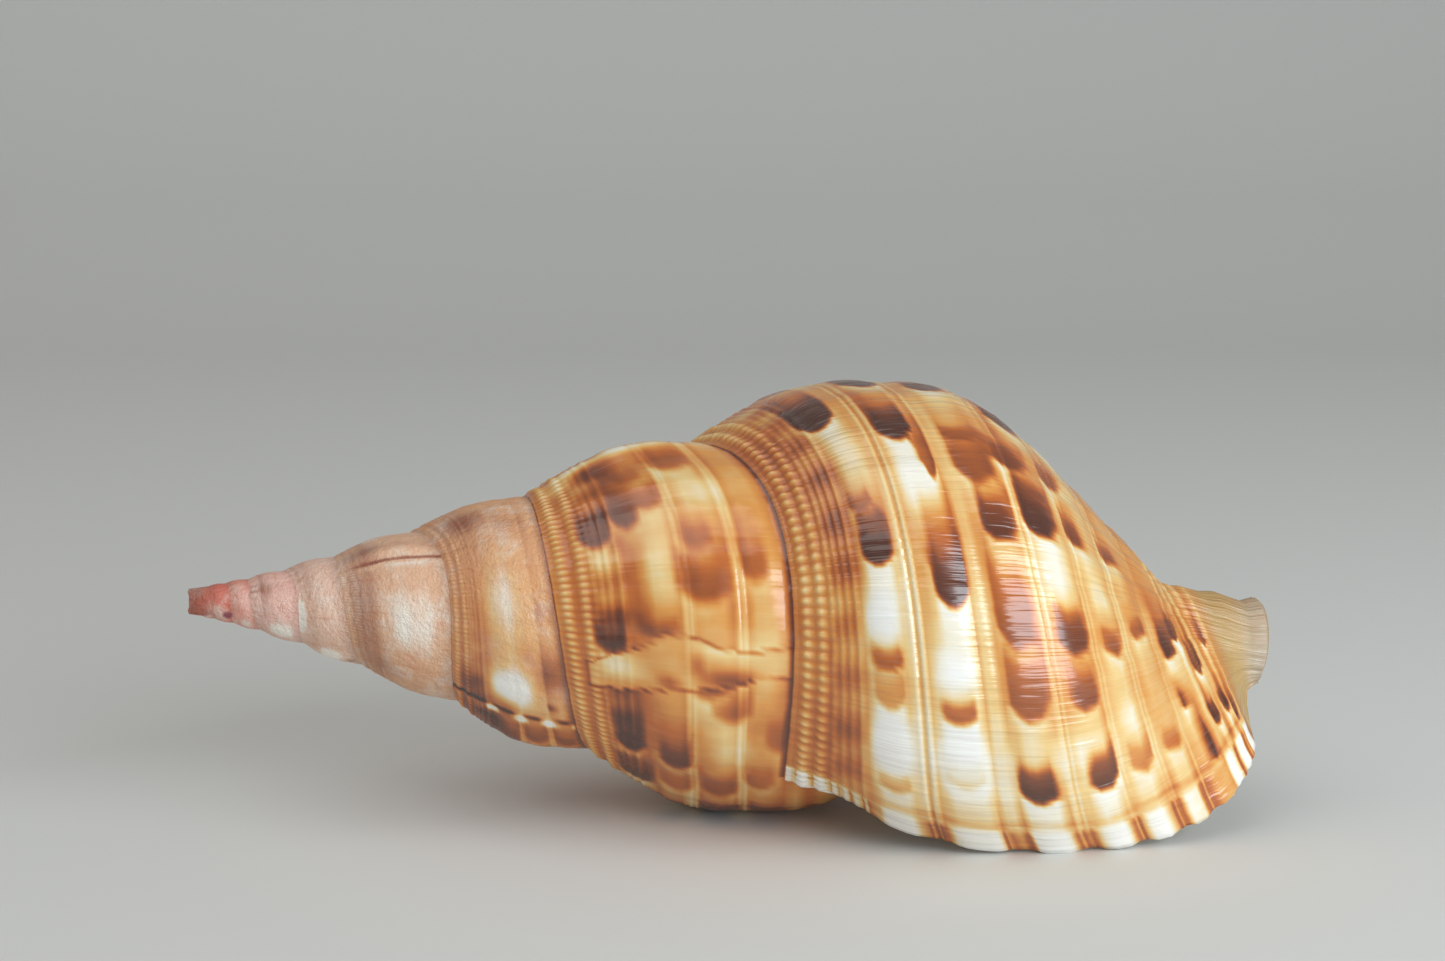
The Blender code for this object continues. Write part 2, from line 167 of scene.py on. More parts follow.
def profile(turn, share):
    """Along and radius on the plain sheet: chord plus half sine down to the next suture, then a cubic."""
    turn, share = paired(turn, share)
    start, end = suture(turn), suture(turn + 1.0)
    chord = end - start
    length = np.linalg.norm(chord, axis=-1, keepdims=True)
    out = np.stack([-chord[..., 1], chord[..., 0]], -1) / length
    u = np.clip(share / SHARE_SUTURE, 0.0, 1.0)
    bulge = np.interp(turn, BULGE_AT, BULGE_BY)
    swell = bulge * np.sin(math.pi * u ** BULGE_SKEW) * (1 - BULGE_FALL * u ** 4)
    swell = swell + varix(turn) * np.sin(math.pi * u) ** 0.75
    whorl = start + chord * u[..., None] + out * length * swell[..., None]
    slope = -math.pi * BULGE_SKEW * (1 - BULGE_FALL) * bulge
    leave = chord + out * length * slope[..., None]
    inner = 1.0 - smooth(CURL[0], CURL[1], turn)
    size = np.exp(np.minimum(log_growth(turn) - log_growth(PULL_SETTLES), 0.0))
    back = np.exp(math.log(GROWTH) * np.minimum(turn - CURL[0], 0.0))
    pull = np.stack([BASE_PULL[0] * size, BASE_PULL[1] * (1 - inner) + PULL_RADIUS_INSIDE * inner], -1)
    tip = np.stack([(CANAL_END[0] * (1 - inner) + PILLAR_END[0] * inner) * back,
                    (CANAL_END[1] * (1 - inner) + PILLAR_END[1] * inner) * back], -1)
    w = np.clip((share - SHARE_SUTURE) / (1.0 - SHARE_SUTURE), 0.0, 1.0)[..., None]
    handle = end + leave * BASE_REACH / 3.0
    base = end * (1 - w) ** 3 + 3 * handle * w * (1 - w) ** 2 + 3 * pull * w ** 2 * (1 - w) + tip * w ** 3
    # On the last whorl the base sinks in beside the canal, and the canal itself swells.
    fold = CANAL_SWELL[0] * bell(share, *CANAL_SWELL[1:]) - BASE_SINK[0] * bell(share, *BASE_SINK[1:])
    base[..., 1] = base[..., 1] + fold * smooth(-0.62, -0.45, turn)
    return np.where((share <= SHARE_SUTURE)[..., None], whorl, base)


print("profile halfway down the last whorl, mm:", np.round(profile(-0.5, 0.23), 1))

# %% [markdown]
# ## The lip
#
# The last few millimetres flare out like a bell's rim. A steeper growth ratio would swell the whole
# last whorl, so the flare is an offset: the edge is a smooth curve through a few points, and the
# sheet leaves its plain profile for that curve over a short way.

# %% Lip edge and the finished sheet
LIP_EDGE = (
    (0.0, 138.5, 43.5), (0.08, 149.0, 46.6), (0.16, 160.0, 53.0), (0.26, 173.5, 58.2), (0.36, 187.5, 60.2),
    (0.46, 201.5, 60.4), (0.56, 215.5, 59.0), (0.66, 230.0, 55.0), (0.75, 241.0, 48.5), (0.82, 249.0, 40.0),
    (0.87, 252.0, 32.5), (0.915, 252.0, 22.6), (0.95, 252.5, 14.5), (1.0, 256.0, 11.0),
)
LIP_BLEND = 0.085                    # turns
LEAN_FROM, LEAN_BY = 222.0, -1.0     # from this far along, the canal leans sideways by this much, mm
DROP_FROM, DROP_BY = 236.0, -3.4     # and from here it bends down
BEND_WITHIN = (40.0, 16.0)           # only near the axis: not at all at 40 mm, and fully at 16 mm


def lip_curve(share):
    """Along and radius of the lip's edge: cubic pieces with matching slopes through LIP_EDGE."""
    knots = np.array(LIP_EDGE)
    tangent = np.gradient(knots[:, 1:], knots[:, 0], axis=0)
    i = np.clip(np.searchsorted(knots[:, 0], share, side="right") - 1, 0, len(knots) - 2)
    step = (knots[i + 1, 0] - knots[i, 0])[..., None]
    t = (share[..., None] - knots[i, 0][..., None]) / step
    return (knots[i, 1:] * (2 * t ** 3 - 3 * t ** 2 + 1) + tangent[i] * step * (t ** 3 - 2 * t ** 2 + t)
            + knots[i + 1, 1:] * (3 * t ** 2 - 2 * t ** 3) + tangent[i + 1] * step * (t ** 3 - t ** 2))


def sheet(turn, share):
    """The profile plus the lip's offset, which fades as exp(turn / LIP_BLEND) behind the lip."""
    turn, share = paired(turn, share)
    opened = lip_curve(share) - profile(np.zeros_like(turn), share)
    near = np.exp(np.minimum(turn, 0.0) / LIP_BLEND) * smooth(-0.6, -0.25, turn)
    return profile(turn, share) + opened * near[..., None]


def outward(turn, share):
    """Unit normal of the profile: the step from a little before to a little after, turned a quarter."""
    run = sheet(turn, np.minimum(share + 0.002, 1.0)) - sheet(turn, np.maximum(share - 0.002, 0.0))
    out = np.stack([-run[..., 1], run[..., 0]], -1)
    return out / np.linalg.norm(out, axis=-1, keepdims=True)


def around(turn, at):
    """x, y, z from along and radius: the radius swings round the axis, and the canal leans and bends."""
    angle = np.radians(LIP_ANGLE) + TAU * turn
    lean = smooth(LEAN_FROM, CANAL_END[0], at[..., 0]) * smooth(*BEND_WITHIN, at[..., 1])
    drop = smooth(DROP_FROM, CANAL_END[0], at[..., 0]) * smooth(*BEND_WITHIN, at[..., 1])
    y = at[..., 1] * np.cos(angle) + LEAN_BY * lean
    z = at[..., 1] * np.sin(angle) + DROP_BY * drop
    return np.stack([at[..., 0], y, z], -1)


flare = lip_curve(np.array([SHARE_SUTURE])) - profile(0.0, SHARE_SUTURE)
print("flare of the lip, along and radius, mm:", np.round(flare[0], 1))

# %% [markdown]
# ## Relief
#
# Flat spiral cords carry the brown marks. Between them lie pairs of fine threads, and below the
# suture two rows of beads and a few narrow cords. A bump map would shade them, but the ridges show
# in the outline too, so they are real heights. Each ridge has one share on the last whorl and a
# slightly different one a whorl earlier, and drifts between the two.

# %% Cords, threads and beads
# Share on the last whorl, share on the whorl before, half width, height in mm.
CORDS = (
    (0.2, 0.222, 0.044, 0.75), (0.331, 0.312, 0.05, 0.85), (0.459, 0.412, 0.042, 0.85),
    (0.563, 0.54, 0.031, 0.8), (0.64, 0.622, 0.026, 0.75), (0.708, 0.695, 0.022, 0.65),
    (0.77, 0.762, 0.018, 0.55),
)
# The same four numbers, and how deeply the ridge is cut into beads.
RIDGES = (
    (0.007, 0.005, 0.0045, 0.3, 0.3), (0.032, 0.026, 0.0115, 1.05, 0.75), (0.065, 0.066, 0.0105, 1.0, 0.7),
    (0.0895, 0.087, 0.0065, 0.5, 0.35), (0.107, 0.101, 0.0065, 0.45, 0.2),
    (0.125, 0.117, 0.006, 0.42, 0.12), (0.143, 0.14, 0.0055, 0.38, 0.1), (0.253, 0.259, 0.0055, 0.42, 0.0),
    (0.271, 0.27, 0.0055, 0.4, 0.0), (0.391, 0.358, 0.0055, 0.42, 0.0), (0.407, 0.369, 0.0055, 0.4, 0.0),
    (0.511, 0.47, 0.005, 0.4, 0.1), (0.523, 0.482, 0.0045, 0.38, 0.1), (0.6, 0.58, 0.0045, 0.36, 0.1),
    (0.61, 0.59, 0.004, 0.32, 0.1), (0.672, 0.655, 0.004, 0.34, 0.1), (0.681, 0.664, 0.0038, 0.3, 0.1),
    (0.738, 0.728, 0.0036, 0.3, 0.1), (0.746, 0.736, 0.0034, 0.26, 0.1), (0.798, 0.798, 0.006, 0.4, 0.0),
    (0.818, 0.818, 0.006, 0.4, 0.0), (0.838, 0.838, 0.006, 0.38, 0.0), (0.858, 0.858, 0.006, 0.34, 0.0),
    (0.879, 0.879, 0.006, 0.28, 0.0),
)
BEADS = 120              # to a turn
GROWTH_WAVES = ((0.1, 23, 0.6), (0.07, 37, 0.0), (0.05, 61, 2.0))    # mm, waves to a turn, phase


def drifting(late, early, turn):
    """A ridge's share: late on the last whorl, early one whorl before and all through the spire."""
    return late + (early - late) * np.clip(-0.15 - turn, 0.0, 1.0)


def cord_height(turn, share):
    """Flat-topped cords: the sum of height times exp(-d^4), narrower on the earlier whorls."""
    total = np.zeros(np.broadcast(turn, share).shape)
    narrow = 1 - 0.2 * np.clip(-0.15 - turn, 0.0, 1.0)
    for late, early, half, height in CORDS:
        d = (share - drifting(late, early, turn)) / (half * narrow)
        total = total + height * np.exp(-d ** 4)
    return total


def ridge_height(turn, share):
    """Round threads: the sum of height times a bell, each cut into beads by a cosine round the coil."""
    total = np.zeros(np.broadcast(turn, share).shape)
    bead = 0.5 - 0.5 * np.cos(TAU * BEADS * turn)
    for late, early, half, height, beaded in RIDGES:
        cut = 1 - beaded * bead * smooth(0.0, 0.02, -turn)
        total = total + height * cut * bell(share, drifting(late, early, turn), half)
    return total


def growth_swell(turn):
    """Slow unevenness of growth, in mm: three sines round the coil whose counts share no factor."""
    return sum(height * np.sin(TAU * waves * turn + phase) for height, waves, phase in GROWTH_WAVES)


print("cords", len(CORDS), "ridges", len(RIDGES))

# %% [markdown]
# ## Old breaks
#
# This snail survived an attack. On the last whorl but one a flake came off and the shell healed,
# which left two ragged lines across the whorl and a lower, calmer strip between them. Cutting the
# mesh would leave open edges, so the strip is a mask, 1 inside and 0 outside, that both the relief
# and the paint read.

# %% The healed strip
BREAK_SHARE = (0.05, 0.12, 0.17, 0.22, 0.26, 0.33, 0.40, 0.46)
BREAK_LEFT = (-1.106, -1.120, -1.132, -1.146, -1.142, -1.134, -1.133, -1.136)
BREAK_RIGHT = (-1.080, -1.081, -1.086, -1.095, -1.094, -1.098, -1.114, -1.110)
BREAK_EDGE = 0.0024      # half width of each edge, in turns
BREAK_JITTER = 0.0015    # how far the edges wander, in turns
HEALED_CALM = 0.45       # how much of the relief is lost in the strip
HEALED_DEPTH = 0.25      # mm
LIP_SCALLOPS = 0.9       # mm for each mm of cord, at the lip


def ragged(share, seed):
    """A small ragged offset: five sines across the whorl with seeded phases."""
    phase = np.random.default_rng(seed).uniform(0, TAU, 5)
    return sum(BREAK_JITTER / (k + 1) * np.sin(TAU * (7 * k + 6) * share + phase[k]) for k in range(5))


def healed(turn, share):
    """1 inside the strip and 0 outside, with edges about a millimetre wide."""
    left = np.interp(share, BREAK_SHARE, BREAK_LEFT) + ragged(share, 3)
    right = np.interp(share, BREAK_SHARE, BREAK_RIGHT) + ragged(share, 4)
    strip = smooth(-BREAK_EDGE, BREAK_EDGE, turn - left) * smooth(-BREAK_EDGE, BREAK_EDGE, right - turn)
    return strip * smooth(0.045, 0.055, share)


def relief(turn, share):
    """Height over the sheet in mm: cords, threads and swell, all fading on the worn early whorls."""
    size = np.exp(log_growth(turn))
    fine = ridge_height(turn, share) * smooth(-4.4, -2.6, turn)
    cut = healed(turn, share)
    total = (cord_height(turn, share) + fine) * (1 - HEALED_CALM * cut)
    total = total + growth_swell(turn) - HEALED_DEPTH * cut
    return total * size * smooth(-5.5, -2.3, turn)


def outside(turn, share):
    """The outer skin: the sheet, raised along its normal by the relief and, at the lip, by scallops."""
    turn, share = paired(turn, share)
    lobes = (cord_height(turn, share) - 0.4) * smooth(-0.03, 0.0, turn) * smooth(0.02, 0.1, share)
    height = relief(turn, share) + LIP_SCALLOPS * lobes * (1 - smooth(0.84, 0.9, share))
    return around(turn, sheet(turn, share) + outward(turn, share) * height[..., None])


strip_sides = outside(np.array([BREAK_LEFT[4], BREAK_RIGHT[4]]), BREAK_SHARE[4])
print("healed strip, mm wide:", round(float(np.linalg.norm(strip_sides[1] - strip_sides[0])), 1))

# %% [markdown]
# ## Inside
#
# The inner face is the same sheet moved in by its thickness. A Solidify modifier would do that, but
# the inside has forms of its own. Just inside the lip stand pairs of small teeth, and across the
# columella side lie fine folds. The other side of the aperture is the whorl before, under a thin
# glaze.

# %% Inner faces
WALL = 2.6               # mm on the last whorl
CALLUS = 0.8             # thickness of the glaze, mm
TUCK = 0.7               # how far the columella's face dips where it meets the suture, mm
COLUMELLA_EDGE = 0.80    # turns behind the lip where the inner lip ends at the canal
CHANNEL_END = -0.60      # turn where the aperture ends and the deep hollow begins
NECK_SHARE = 0.80        # the deep hollow reaches no farther down the wall than this share
INNER_START = 0.045      # share where the wall's inner face begins
CLOSE_TURN = -3.6        # where the hollow ends inside
TEETH = tuple(0.13 + 0.062 * k for k in range(11))
FOLDS = 30               # across the columella side
FOLD_HEIGHT = 0.7        # mm


def teeth(turn, share):
    """Pairs of small rounded teeth on the lip's inner face."""
    total = np.zeros(np.broadcast(turn, share).shape)
    for at in TEETH:
        total = total + bell(share, at - 0.010, 0.0065) + bell(share, at + 0.010, 0.0065)
    return total * bell(turn, -0.026, 0.018)


def folds(depth, share):
    """Wrinkles of the inner lip: a cosine across the share, slanting with depth and dying out inward."""
    wave = 0.5 + 0.5 * np.cos(TAU * FOLDS * (share + 0.25 * depth))
    return wave ** 2 * smooth(0.0, 0.02, depth) * smooth(0.17, 0.05, depth) * smooth(0.50, 0.56, share)


def inside_wall(turn, share):
    """The sheet moved in by the wall's thickness and the teeth, and scalloped as the lip is outside."""
    turn, share = paired(turn, share)
    size = np.exp(np.minimum(log_growth(turn), 0.0))
    thick = WALL * size * (1 - 0.25 * smooth(0.75, 0.95, share)) + 1.0 * teeth(turn, share)
    scallops = (cord_height(turn, share) - 0.4) * smooth(-0.06, -0.01, turn) * smooth(0.06, 0.15, share)
    thick = thick - 0.5 * scallops
    return around(turn, sheet(turn, share) - outward(turn, share) * thick[..., None])


def inside_pillar(turn, share, depth):
    """The face of the whorl before, raised by the glaze and its folds. At the suture it dips, so that
    it stays inside the wall."""
    turn, share = paired(turn, share)
    size = np.exp(np.minimum(log_growth(turn + 1.0), 0.0))
    clear = smooth(SHARE_SUTURE, SHARE_SUTURE + 0.04, share)
    glaze = (CALLUS * clear - TUCK * (1 - clear)) * size * smooth(0.0, 0.10, depth)
    thick = glaze + FOLD_HEIGHT * folds(depth, share)
    return around(turn, sheet(turn, share) + outward(turn, share) * thick[..., None])


print("tooth pairs", len(TEETH), "folds", FOLDS, "wall, mm", WALL)

# %% [markdown]
# ## Sewing grids together
#
# One even grid fine enough for the beads would be far too heavy, so the skin is made of several,
# with rows and columns denser where the relief is finer. Remeshing or a Boolean would lose the coil
# coordinates that the paint needs, so the grids are sewn line to line. A `Patch` holds the vertex
# numbers of a grid together with the coil coordinates that its corners have, so that one vertex on
# a suture can belong to two whorls. A `strip` joins any two lines of points.

# %% Patches and the skin
class Patch:
    """Vertex numbers of a grid or a line, and their coil coordinates: turn, share, side."""

    def __init__(self, index, coil):
        self.index = index
        self.coil = coil

    def __getitem__(self, key):
        return Patch(self.index[key], self.coil[key])

    def moved(self, turn, share):
        """The same vertices under other coil coordinates: turn shifted, share set."""
        coil = self.coil.copy()
        coil[..., 0] += turn
        coil[..., 1] = share
        return Patch(self.index, coil)


def joined(*lines):
    """Lines end to end, as one."""
    return Patch(np.concatenate([p.index for p in lines]), np.concatenate([p.coil for p in lines]))


class Skin:
    """Collects points, triangles and the coil coordinates of each triangle's corners."""

    def __init__(self):
        self.points = []
        self.count = 0
        self.triangles = []
        self.corners = []

    def add(self, points, turn, share, side):
        """Adds points with their coil coordinates, and returns them as a patch."""
        first = self.count
        self.points.append(points.reshape(-1, 3))
        self.count += len(self.points[-1])
        coil = np.stack(np.broadcast_arrays(turn, share, side), -1).astype(float)
        coil = np.broadcast_to(coil, points.shape[:-1] + (3,))
        return Patch(np.arange(first, self.count).reshape(points.shape[:-1]), coil)

    def faces(self, a, b, c):
        """One triangle from each three corners, taken from three patches of one shape."""
        self.triangles.append(np.stack([a.index, b.index, c.index], -1).reshape(-1, 3))
        self.corners.append(np.stack([a.coil, b.coil, c.coil], -2).reshape(-1, 3, 3))

    def strip(self, one, two, at_one, at_two):
        """Triangles between two lines, stepping along whichever line is behind."""
        mid_one, mid_two = (at_one[1:] + at_one[:-1]) / 2, (at_two[1:] + at_two[:-1]) / 2
        k = np.searchsorted(mid_two, mid_one, side="left")
        self.faces(one[:-1], one[1:], two[k])
        k = np.searchsorted(mid_one, mid_two, side="right")
        self.faces(one[k], two[1:], two[:-1])

    def grid(self, patch):
        """Two triangles for each square of the grid."""
        self.faces(patch[:-1, :-1], patch[1:, :-1], patch[1:, 1:])
        self.faces(patch[:-1, :-1], patch[1:, 1:], patch[:-1, 1:])

    def fan(self, line, point):
        """Triangles from each step of a line to one point."""
        self.faces(line[:-1], line[1:], joined(*[point] * (len(line.index) - 1)))


def crowded(low, high, count, turn):
    """count + 1 shares from low to high that crowd at the ridges: even steps of a running total."""
    fine = np.linspace(low, high, 4000)
    density = np.full(4000, 1.0)
    for late, early, half, height, beaded in RIDGES:
        density += 3.2 * np.exp(-((fine - drifting(late, early, turn)) / (half * 1.7)) ** 4)
    total = np.concatenate([[0.0], np.cumsum((density[1:] + density[:-1]) / 2)])
    made = np.interp(np.linspace(0, total[-1], count + 1), total, fine)
    made[0], made[-1] = low, high
    return made


print("shares that crowd at the beads:", np.round(crowded(0.0, 0.1, 8, -1.0), 3))

# %% [markdown]
# ## The outer skin
#
# The outside of the whorls could be one long ribbon, but the beads below the suture are finer than
# anything else on it. So each whorl has a shoulder band, with between four and five columns to a
# bead on the last two whorls, and a coarser band below it, whose last row is the next whorl's first.

# %% Whorls
SHOULDER = 0.10
# Whorl: columns in the shoulder, rows in the shoulder, columns below, rows below.
LAYOUT = {
    -8: (96, 2, 96, 3), -7: (96, 2, 96, 3), -6: (144, 3, 144, 5), -5: (144, 4, 144, 7),
    -4: (288, 5, 288, 10), -3: (288, 15, 288, 17), -2: (576, 17, 288, 42), -1: (576, 19, 288, 52),
}
BASE_ROWS = 54
skin = Skin()


def whorl_grids(first):
    """The two grids of the whorl that starts at this turn, without its last column."""
    fine, fine_rows, coarse, coarse_rows = LAYOUT[first]
    if first < -3:
        shoulder = np.linspace(0, SHOULDER, fine_rows + 1)
    else:
        shoulder = crowded(0, SHOULDER, fine_rows, first)
    below = crowded(SHOULDER, SHARE_SUTURE, coarse_rows + 1, first)[1:-1]
    grids = []
    for columns, share in ((fine, shoulder), (coarse, below)):
        turn = first + np.arange(columns)[:, None] / columns
        grids.append(skin.add(outside(turn, share[None, :]), turn, share[None, :], 0.0))
    return grids


whorls = {first: whorl_grids(first) for first in range(FIRST_TURN, 0)}
lip_shares = np.concatenate([p.coil[0, :, 1] for p in whorls[-1]])
lip_column = skin.add(outside(0.0, lip_shares), 0.0, lip_shares, 0.0)
print("whorl vertices", skin.count)

# %% [markdown]
# ## The base and the canal
#
# The base hangs below the last whorl and runs out in the canal, the spout that the animal breathed
# through. A tube joined on would show a seam, so the canal is the same sheet carried further. Its
# columns start at the free edge of the columella, one turn in at the suture and 0.8 of a turn in at
# the canal, and end at the lip. The corner where the last whorl leaves the one before is a single
# point.

# %% Base and canal
base_share = crowded(SHARE_SUTURE, 1.0, BASE_ROWS, -0.15)
down_base = (base_share - SHARE_SUTURE) / (1 - SHARE_SUTURE)
edge = -1.0 + (1.0 - COLUMELLA_EDGE) * smooth(0.0, 1.0, down_base)
across = np.linspace(0, 1, LAYOUT[-1][2] + 1)
base_turn = edge[None, :] * (1 - across[:, None])
base = skin.add(outside(base_turn, base_share[None, :]), base_turn, base_share[None, :], 0.0)
base.index[0, 0] = lip_column[0].index


def column_at(turn):
    """The first column of the whorl that starts here, or the lip's."""
    return lip_column if turn == 0 else joined(whorls[turn][0][0], whorls[turn][1][0])


def closed_rows(first):
    """Sews one whorl: its two grids, the step between them, its last column and its last row."""
    upper, lower = whorls[first]
    after = column_at(first + 1)
    split = whorls[min(first + 1, -1)][0].index.shape[1]
    above, below = after[:split], after[split:]
    skin.grid(upper)
    skin.grid(lower)
    for patch, end in zip((upper, lower), (above, below)):
        coil = end.coil.copy()
        coil[:, 0] = first + 1.0
        end = Patch(end.index, coil)
        skin.strip(patch[-1], end, patch.coil[-1, :, 1], end.coil[:, 1])
    one = joined(upper[:, -1], above[-1:])
    two = joined(lower[:, 0], below[:1])
    skin.strip(one, two, one.coil[:, 0], two.coil[:, 0])
    # Last row: the next whorl's first row, or the top of the base.
    if first < -1:
        following = joined(whorls[first + 1][0][:, 0], column_at(first + 2)[:1])
        last = following.moved(-1.0, SHARE_SUTURE)
    else:
        last = base[:, 0]
    bottom = joined(lower[:, -1], below[-1:])
    skin.strip(bottom, last, bottom.coil[:, 0], last.coil[:, 0])


for first in range(FIRST_TURN, 0):
    closed_rows(first)
skin.grid(base)
print("outer skin triangles", sum(len(t) for t in skin.triangles))

# %% [markdown]
# ## The broken tip
#
# The oldest whorls have worn away and left a blunt end. One flat face would look sawn off, so the
# first whorl's edge and its open mouth close on a slightly ragged ring and a shallow dimple.

# %% Tip
TIP = (2.7, 2.9)             # along and radius of the worn end, mm
# Each ring: millimetres in from the end, part of its radius, millimetres of raggedness.
TIP_RINGS = ((0.0, 1.0, 0.22), (0.1, 0.78, 0.15), (0.6, 0.45, 0.1))
TIP_DIMPLE = 1.0             # mm
first_upper, first_lower = whorls[FIRST_TURN]
count = first_upper.index.shape[0]
mouth_corner = whorls[FIRST_TURN + 1][0][0, :1].moved(-1.0, SHARE_SUTURE)
mouth = joined(first_upper[0], first_lower[0], mouth_corner)
loop = joined(first_upper[:, 0], mouth[::-1])
loop_at = np.concatenate([np.arange(count) / count, np.linspace(1 - 0.5 / count, 1, len(mouth.index))])
tip_turn = FIRST_TURN + np.arange(count) / count
wave = np.cos(TAU * tip_turn + 0.6) + 0.6 * np.cos(3 * TAU * tip_turn)
wave = wave + 0.3 * np.cos(7 * TAU * tip_turn + 1.0)
ring_lines = []
for inset, radius, ragged_by in TIP_RINGS:
    at = np.stack([TIP[0] + inset + ragged_by * wave, TIP[1] * radius * (1 + 0.05 * wave)], -1)
    line = skin.add(around(tip_turn, at), tip_turn, np.zeros(count), 0.0)
    ring_lines.append(joined(line, line[:1]))
ring_at = np.linspace(0, 1, count + 1)
skin.strip(loop, ring_lines[0], loop_at, ring_at)
for outer_line, inner_line in zip(ring_lines, ring_lines[1:]):
    skin.strip(outer_line, inner_line, ring_at, ring_at)
middle = skin.add(np.array([[TIP[0] + TIP_DIMPLE, 0.0, 0.0]]), FIRST_TURN, 0.0, 0.0)
skin.fan(ring_lines[-1], middle)
print("tip rings", len(ring_lines), "of", count, "points")

# %% [markdown]
# ## The aperture
#
# A dark plug behind the lip would look right from one side only, so the hollow is real. From the
# lip inward come the wall's inner face and the columella's face, then rings that follow the coil up
# to where the hollow ends. The lip's edge is rounded by a few rows that stand out from the line
# between its two faces in a half sine.

# %% Wall, columella and rim
OPEN_COLUMNS = 46
DENSER_AT_LIP = 1.35     # power that crowds those columns near the lip
RIM_ROWS = 6
RIM_LIFT = 1.1           # mm
outer_edge = joined(lip_column, base[-1])
outer_share = outer_edge.coil[:, 1]
wall_share = INNER_START + (1 - INNER_START) * outer_share
neck = int(np.searchsorted(wall_share, NECK_SHARE))
depth = (np.linspace(0, 1, OPEN_COLUMNS + 1) ** DENSER_AT_LIP) * -CHANNEL_END
wall_turn = -depth[:, None]
wall = skin.add(inside_wall(wall_turn, wall_share[None, :]), wall_turn, wall_share[None, :], 1.0)
pillar_turn = edge[None, :] + (CHANNEL_END - 1.0 - edge[None, :]) * (depth[:, None] / -CHANNEL_END)
pillar = skin.add(inside_pillar(pillar_turn[1:], base_share[None, :], depth[1:, None]),
                  -depth[1:, None], base_share[None, :], 2.0)
start = base[:1].coil.copy()
start[..., 0], start[..., 2] = 0.0, 2.0
pillar = joined(Patch(base.index[:1], start), pillar)
skin.grid(wall)
skin.grid(pillar)
skin.strip(wall[:, 0], pillar[:, 0], depth, depth)

here = np.concatenate(skin.points)
outer_points, inner_points = here[outer_edge.index], here[wall.index[0]]
ahead = outer_points - outside(-0.01, outer_share)
ahead = ahead / np.linalg.norm(ahead, axis=-1, keepdims=True)
rim = [outer_edge]
for k in range(1, RIM_ROWS):
    part = k / RIM_ROWS
    lift = RIM_LIFT * math.sin(math.pi * part) * (0.3 + 0.7 * smooth(0.0, 0.03, outer_share))
    lift = lift * (1 - 0.6 * smooth(0.93, 0.99, outer_share))
    row = outer_points * (1 - part) + inner_points * part + ahead * lift[:, None]
    rim.append(skin.add(row, 0.0, outer_share, part))
rim.append(wall[0])
for one, two in zip(rim, rim[1:]):
    skin.strip(one, two, outer_share, outer_share)
# The rim's upper end closes on the corner, where its first and last lines meet the whorl before.
for one, two in zip(rim[1:-1], rim[2:]):
    skin.faces(outer_edge[:1], one[:1], two[:1])
print("rim rows", len(rim), "of", len(outer_share), "points")

# %% [markdown]
# ## The end of the canal
#
# At the spout's end the outer skin and the inner faces meet in a thin rounded edge. A Bevel modifier
# would round it, but would guess the coil coordinates of its new rows. So one middle line is added
# between the two edges, pushed out a little, and sewn to both.

# %% End of the canal
COLUMELLA_PART = (1.0, 0.78)    # where the columella's edge starts and ends on the end line
END_LIFT = 0.7                  # mm
end_outer = base[::-1, -1]
end_inner = joined(wall[:, -1], pillar[::-1, -1])
outer_at = across
columella_at = np.interp(depth[::-1], depth[[0, -1]], COLUMELLA_PART)
inner_at = np.concatenate([depth / COLUMELLA_EDGE, columella_at])
end_points = here[end_outer.index]
inner_line = np.stack([np.interp(outer_at, inner_at, here[end_inner.index][:, k]) for k in range(3)], -1)
swell = np.sin(math.pi * outer_at) ** 0.25
mid_points = (end_points[1:-1] + inner_line[1:-1]) / 2
mid_points = mid_points + np.array([END_LIFT, 0.0, 0.0]) * swell[1:-1, None]
mid = skin.add(mid_points, end_outer.coil[1:-1, 0], 1.0, 0.5)
# The middle line runs from the rim's own middle to the columella edge's last point.
half = RIM_ROWS // 2
middle_line = joined(rim[half][-1:], mid, end_outer[-1:])
skin.strip(end_outer, middle_line[:-1], outer_at, outer_at[:-1])
skin.strip(middle_line, end_inner[:-1], outer_at, inner_at[:-1])
for one, two in zip(rim[1:half], rim[2:half + 1]):
    skin.faces(end_outer[:1], one[-1:], two[-1:])
for one, two in zip(rim[half:-2], rim[half + 1:-1]):
    skin.faces(wall[:1, -1], one[-1:], two[-1:])
print("canal end", len(end_outer.index), len(end_inner.index))

# %% [markdown]
# ## The deep hollow
#
# Farther in, the hollow narrows with the coil. Nobody sees its end, but light falls in round the
# first bend, so it isn't cut off behind the lip. A curve with a bevel would give a round tube, while
# rings made of the wall's and the columella's own faces keep the true section.

# %% Deep part of the hollow
RING_COLUMNS = 30        # to a turn
WALL_STEPS, COLUMELLA_STEPS = 20, 16
skin.fan(wall[-1, neck:], pillar[-1, -1:])
ring_share = np.linspace(INNER_START, NECK_SHARE, WALL_STEPS)
back_share = SHARE_SUTURE + (1 - SHARE_SUTURE) * np.linspace(0, 1, COLUMELLA_STEPS)
steps = int(round((CHANNEL_END - CLOSE_TURN) * RING_COLUMNS))
turns_in = np.linspace(CHANNEL_END, CLOSE_TURN, steps + 1)[1:, None]
wall_in = skin.add(inside_wall(turns_in, ring_share[None, :]), turns_in, ring_share[None, :], 1.0)
pillar_in = skin.add(inside_pillar(turns_in - 1.0, back_share[None, :], np.ones((1, 1))),
                     turns_in, back_share[None, :], 2.0)
rings = Patch(np.concatenate([wall_in.index, pillar_in.index[:, ::-1], wall_in.index[:, :1]], 1),
              np.concatenate([wall_in.coil, pillar_in.coil[:, ::-1], wall_in.coil[:, :1]], 1))
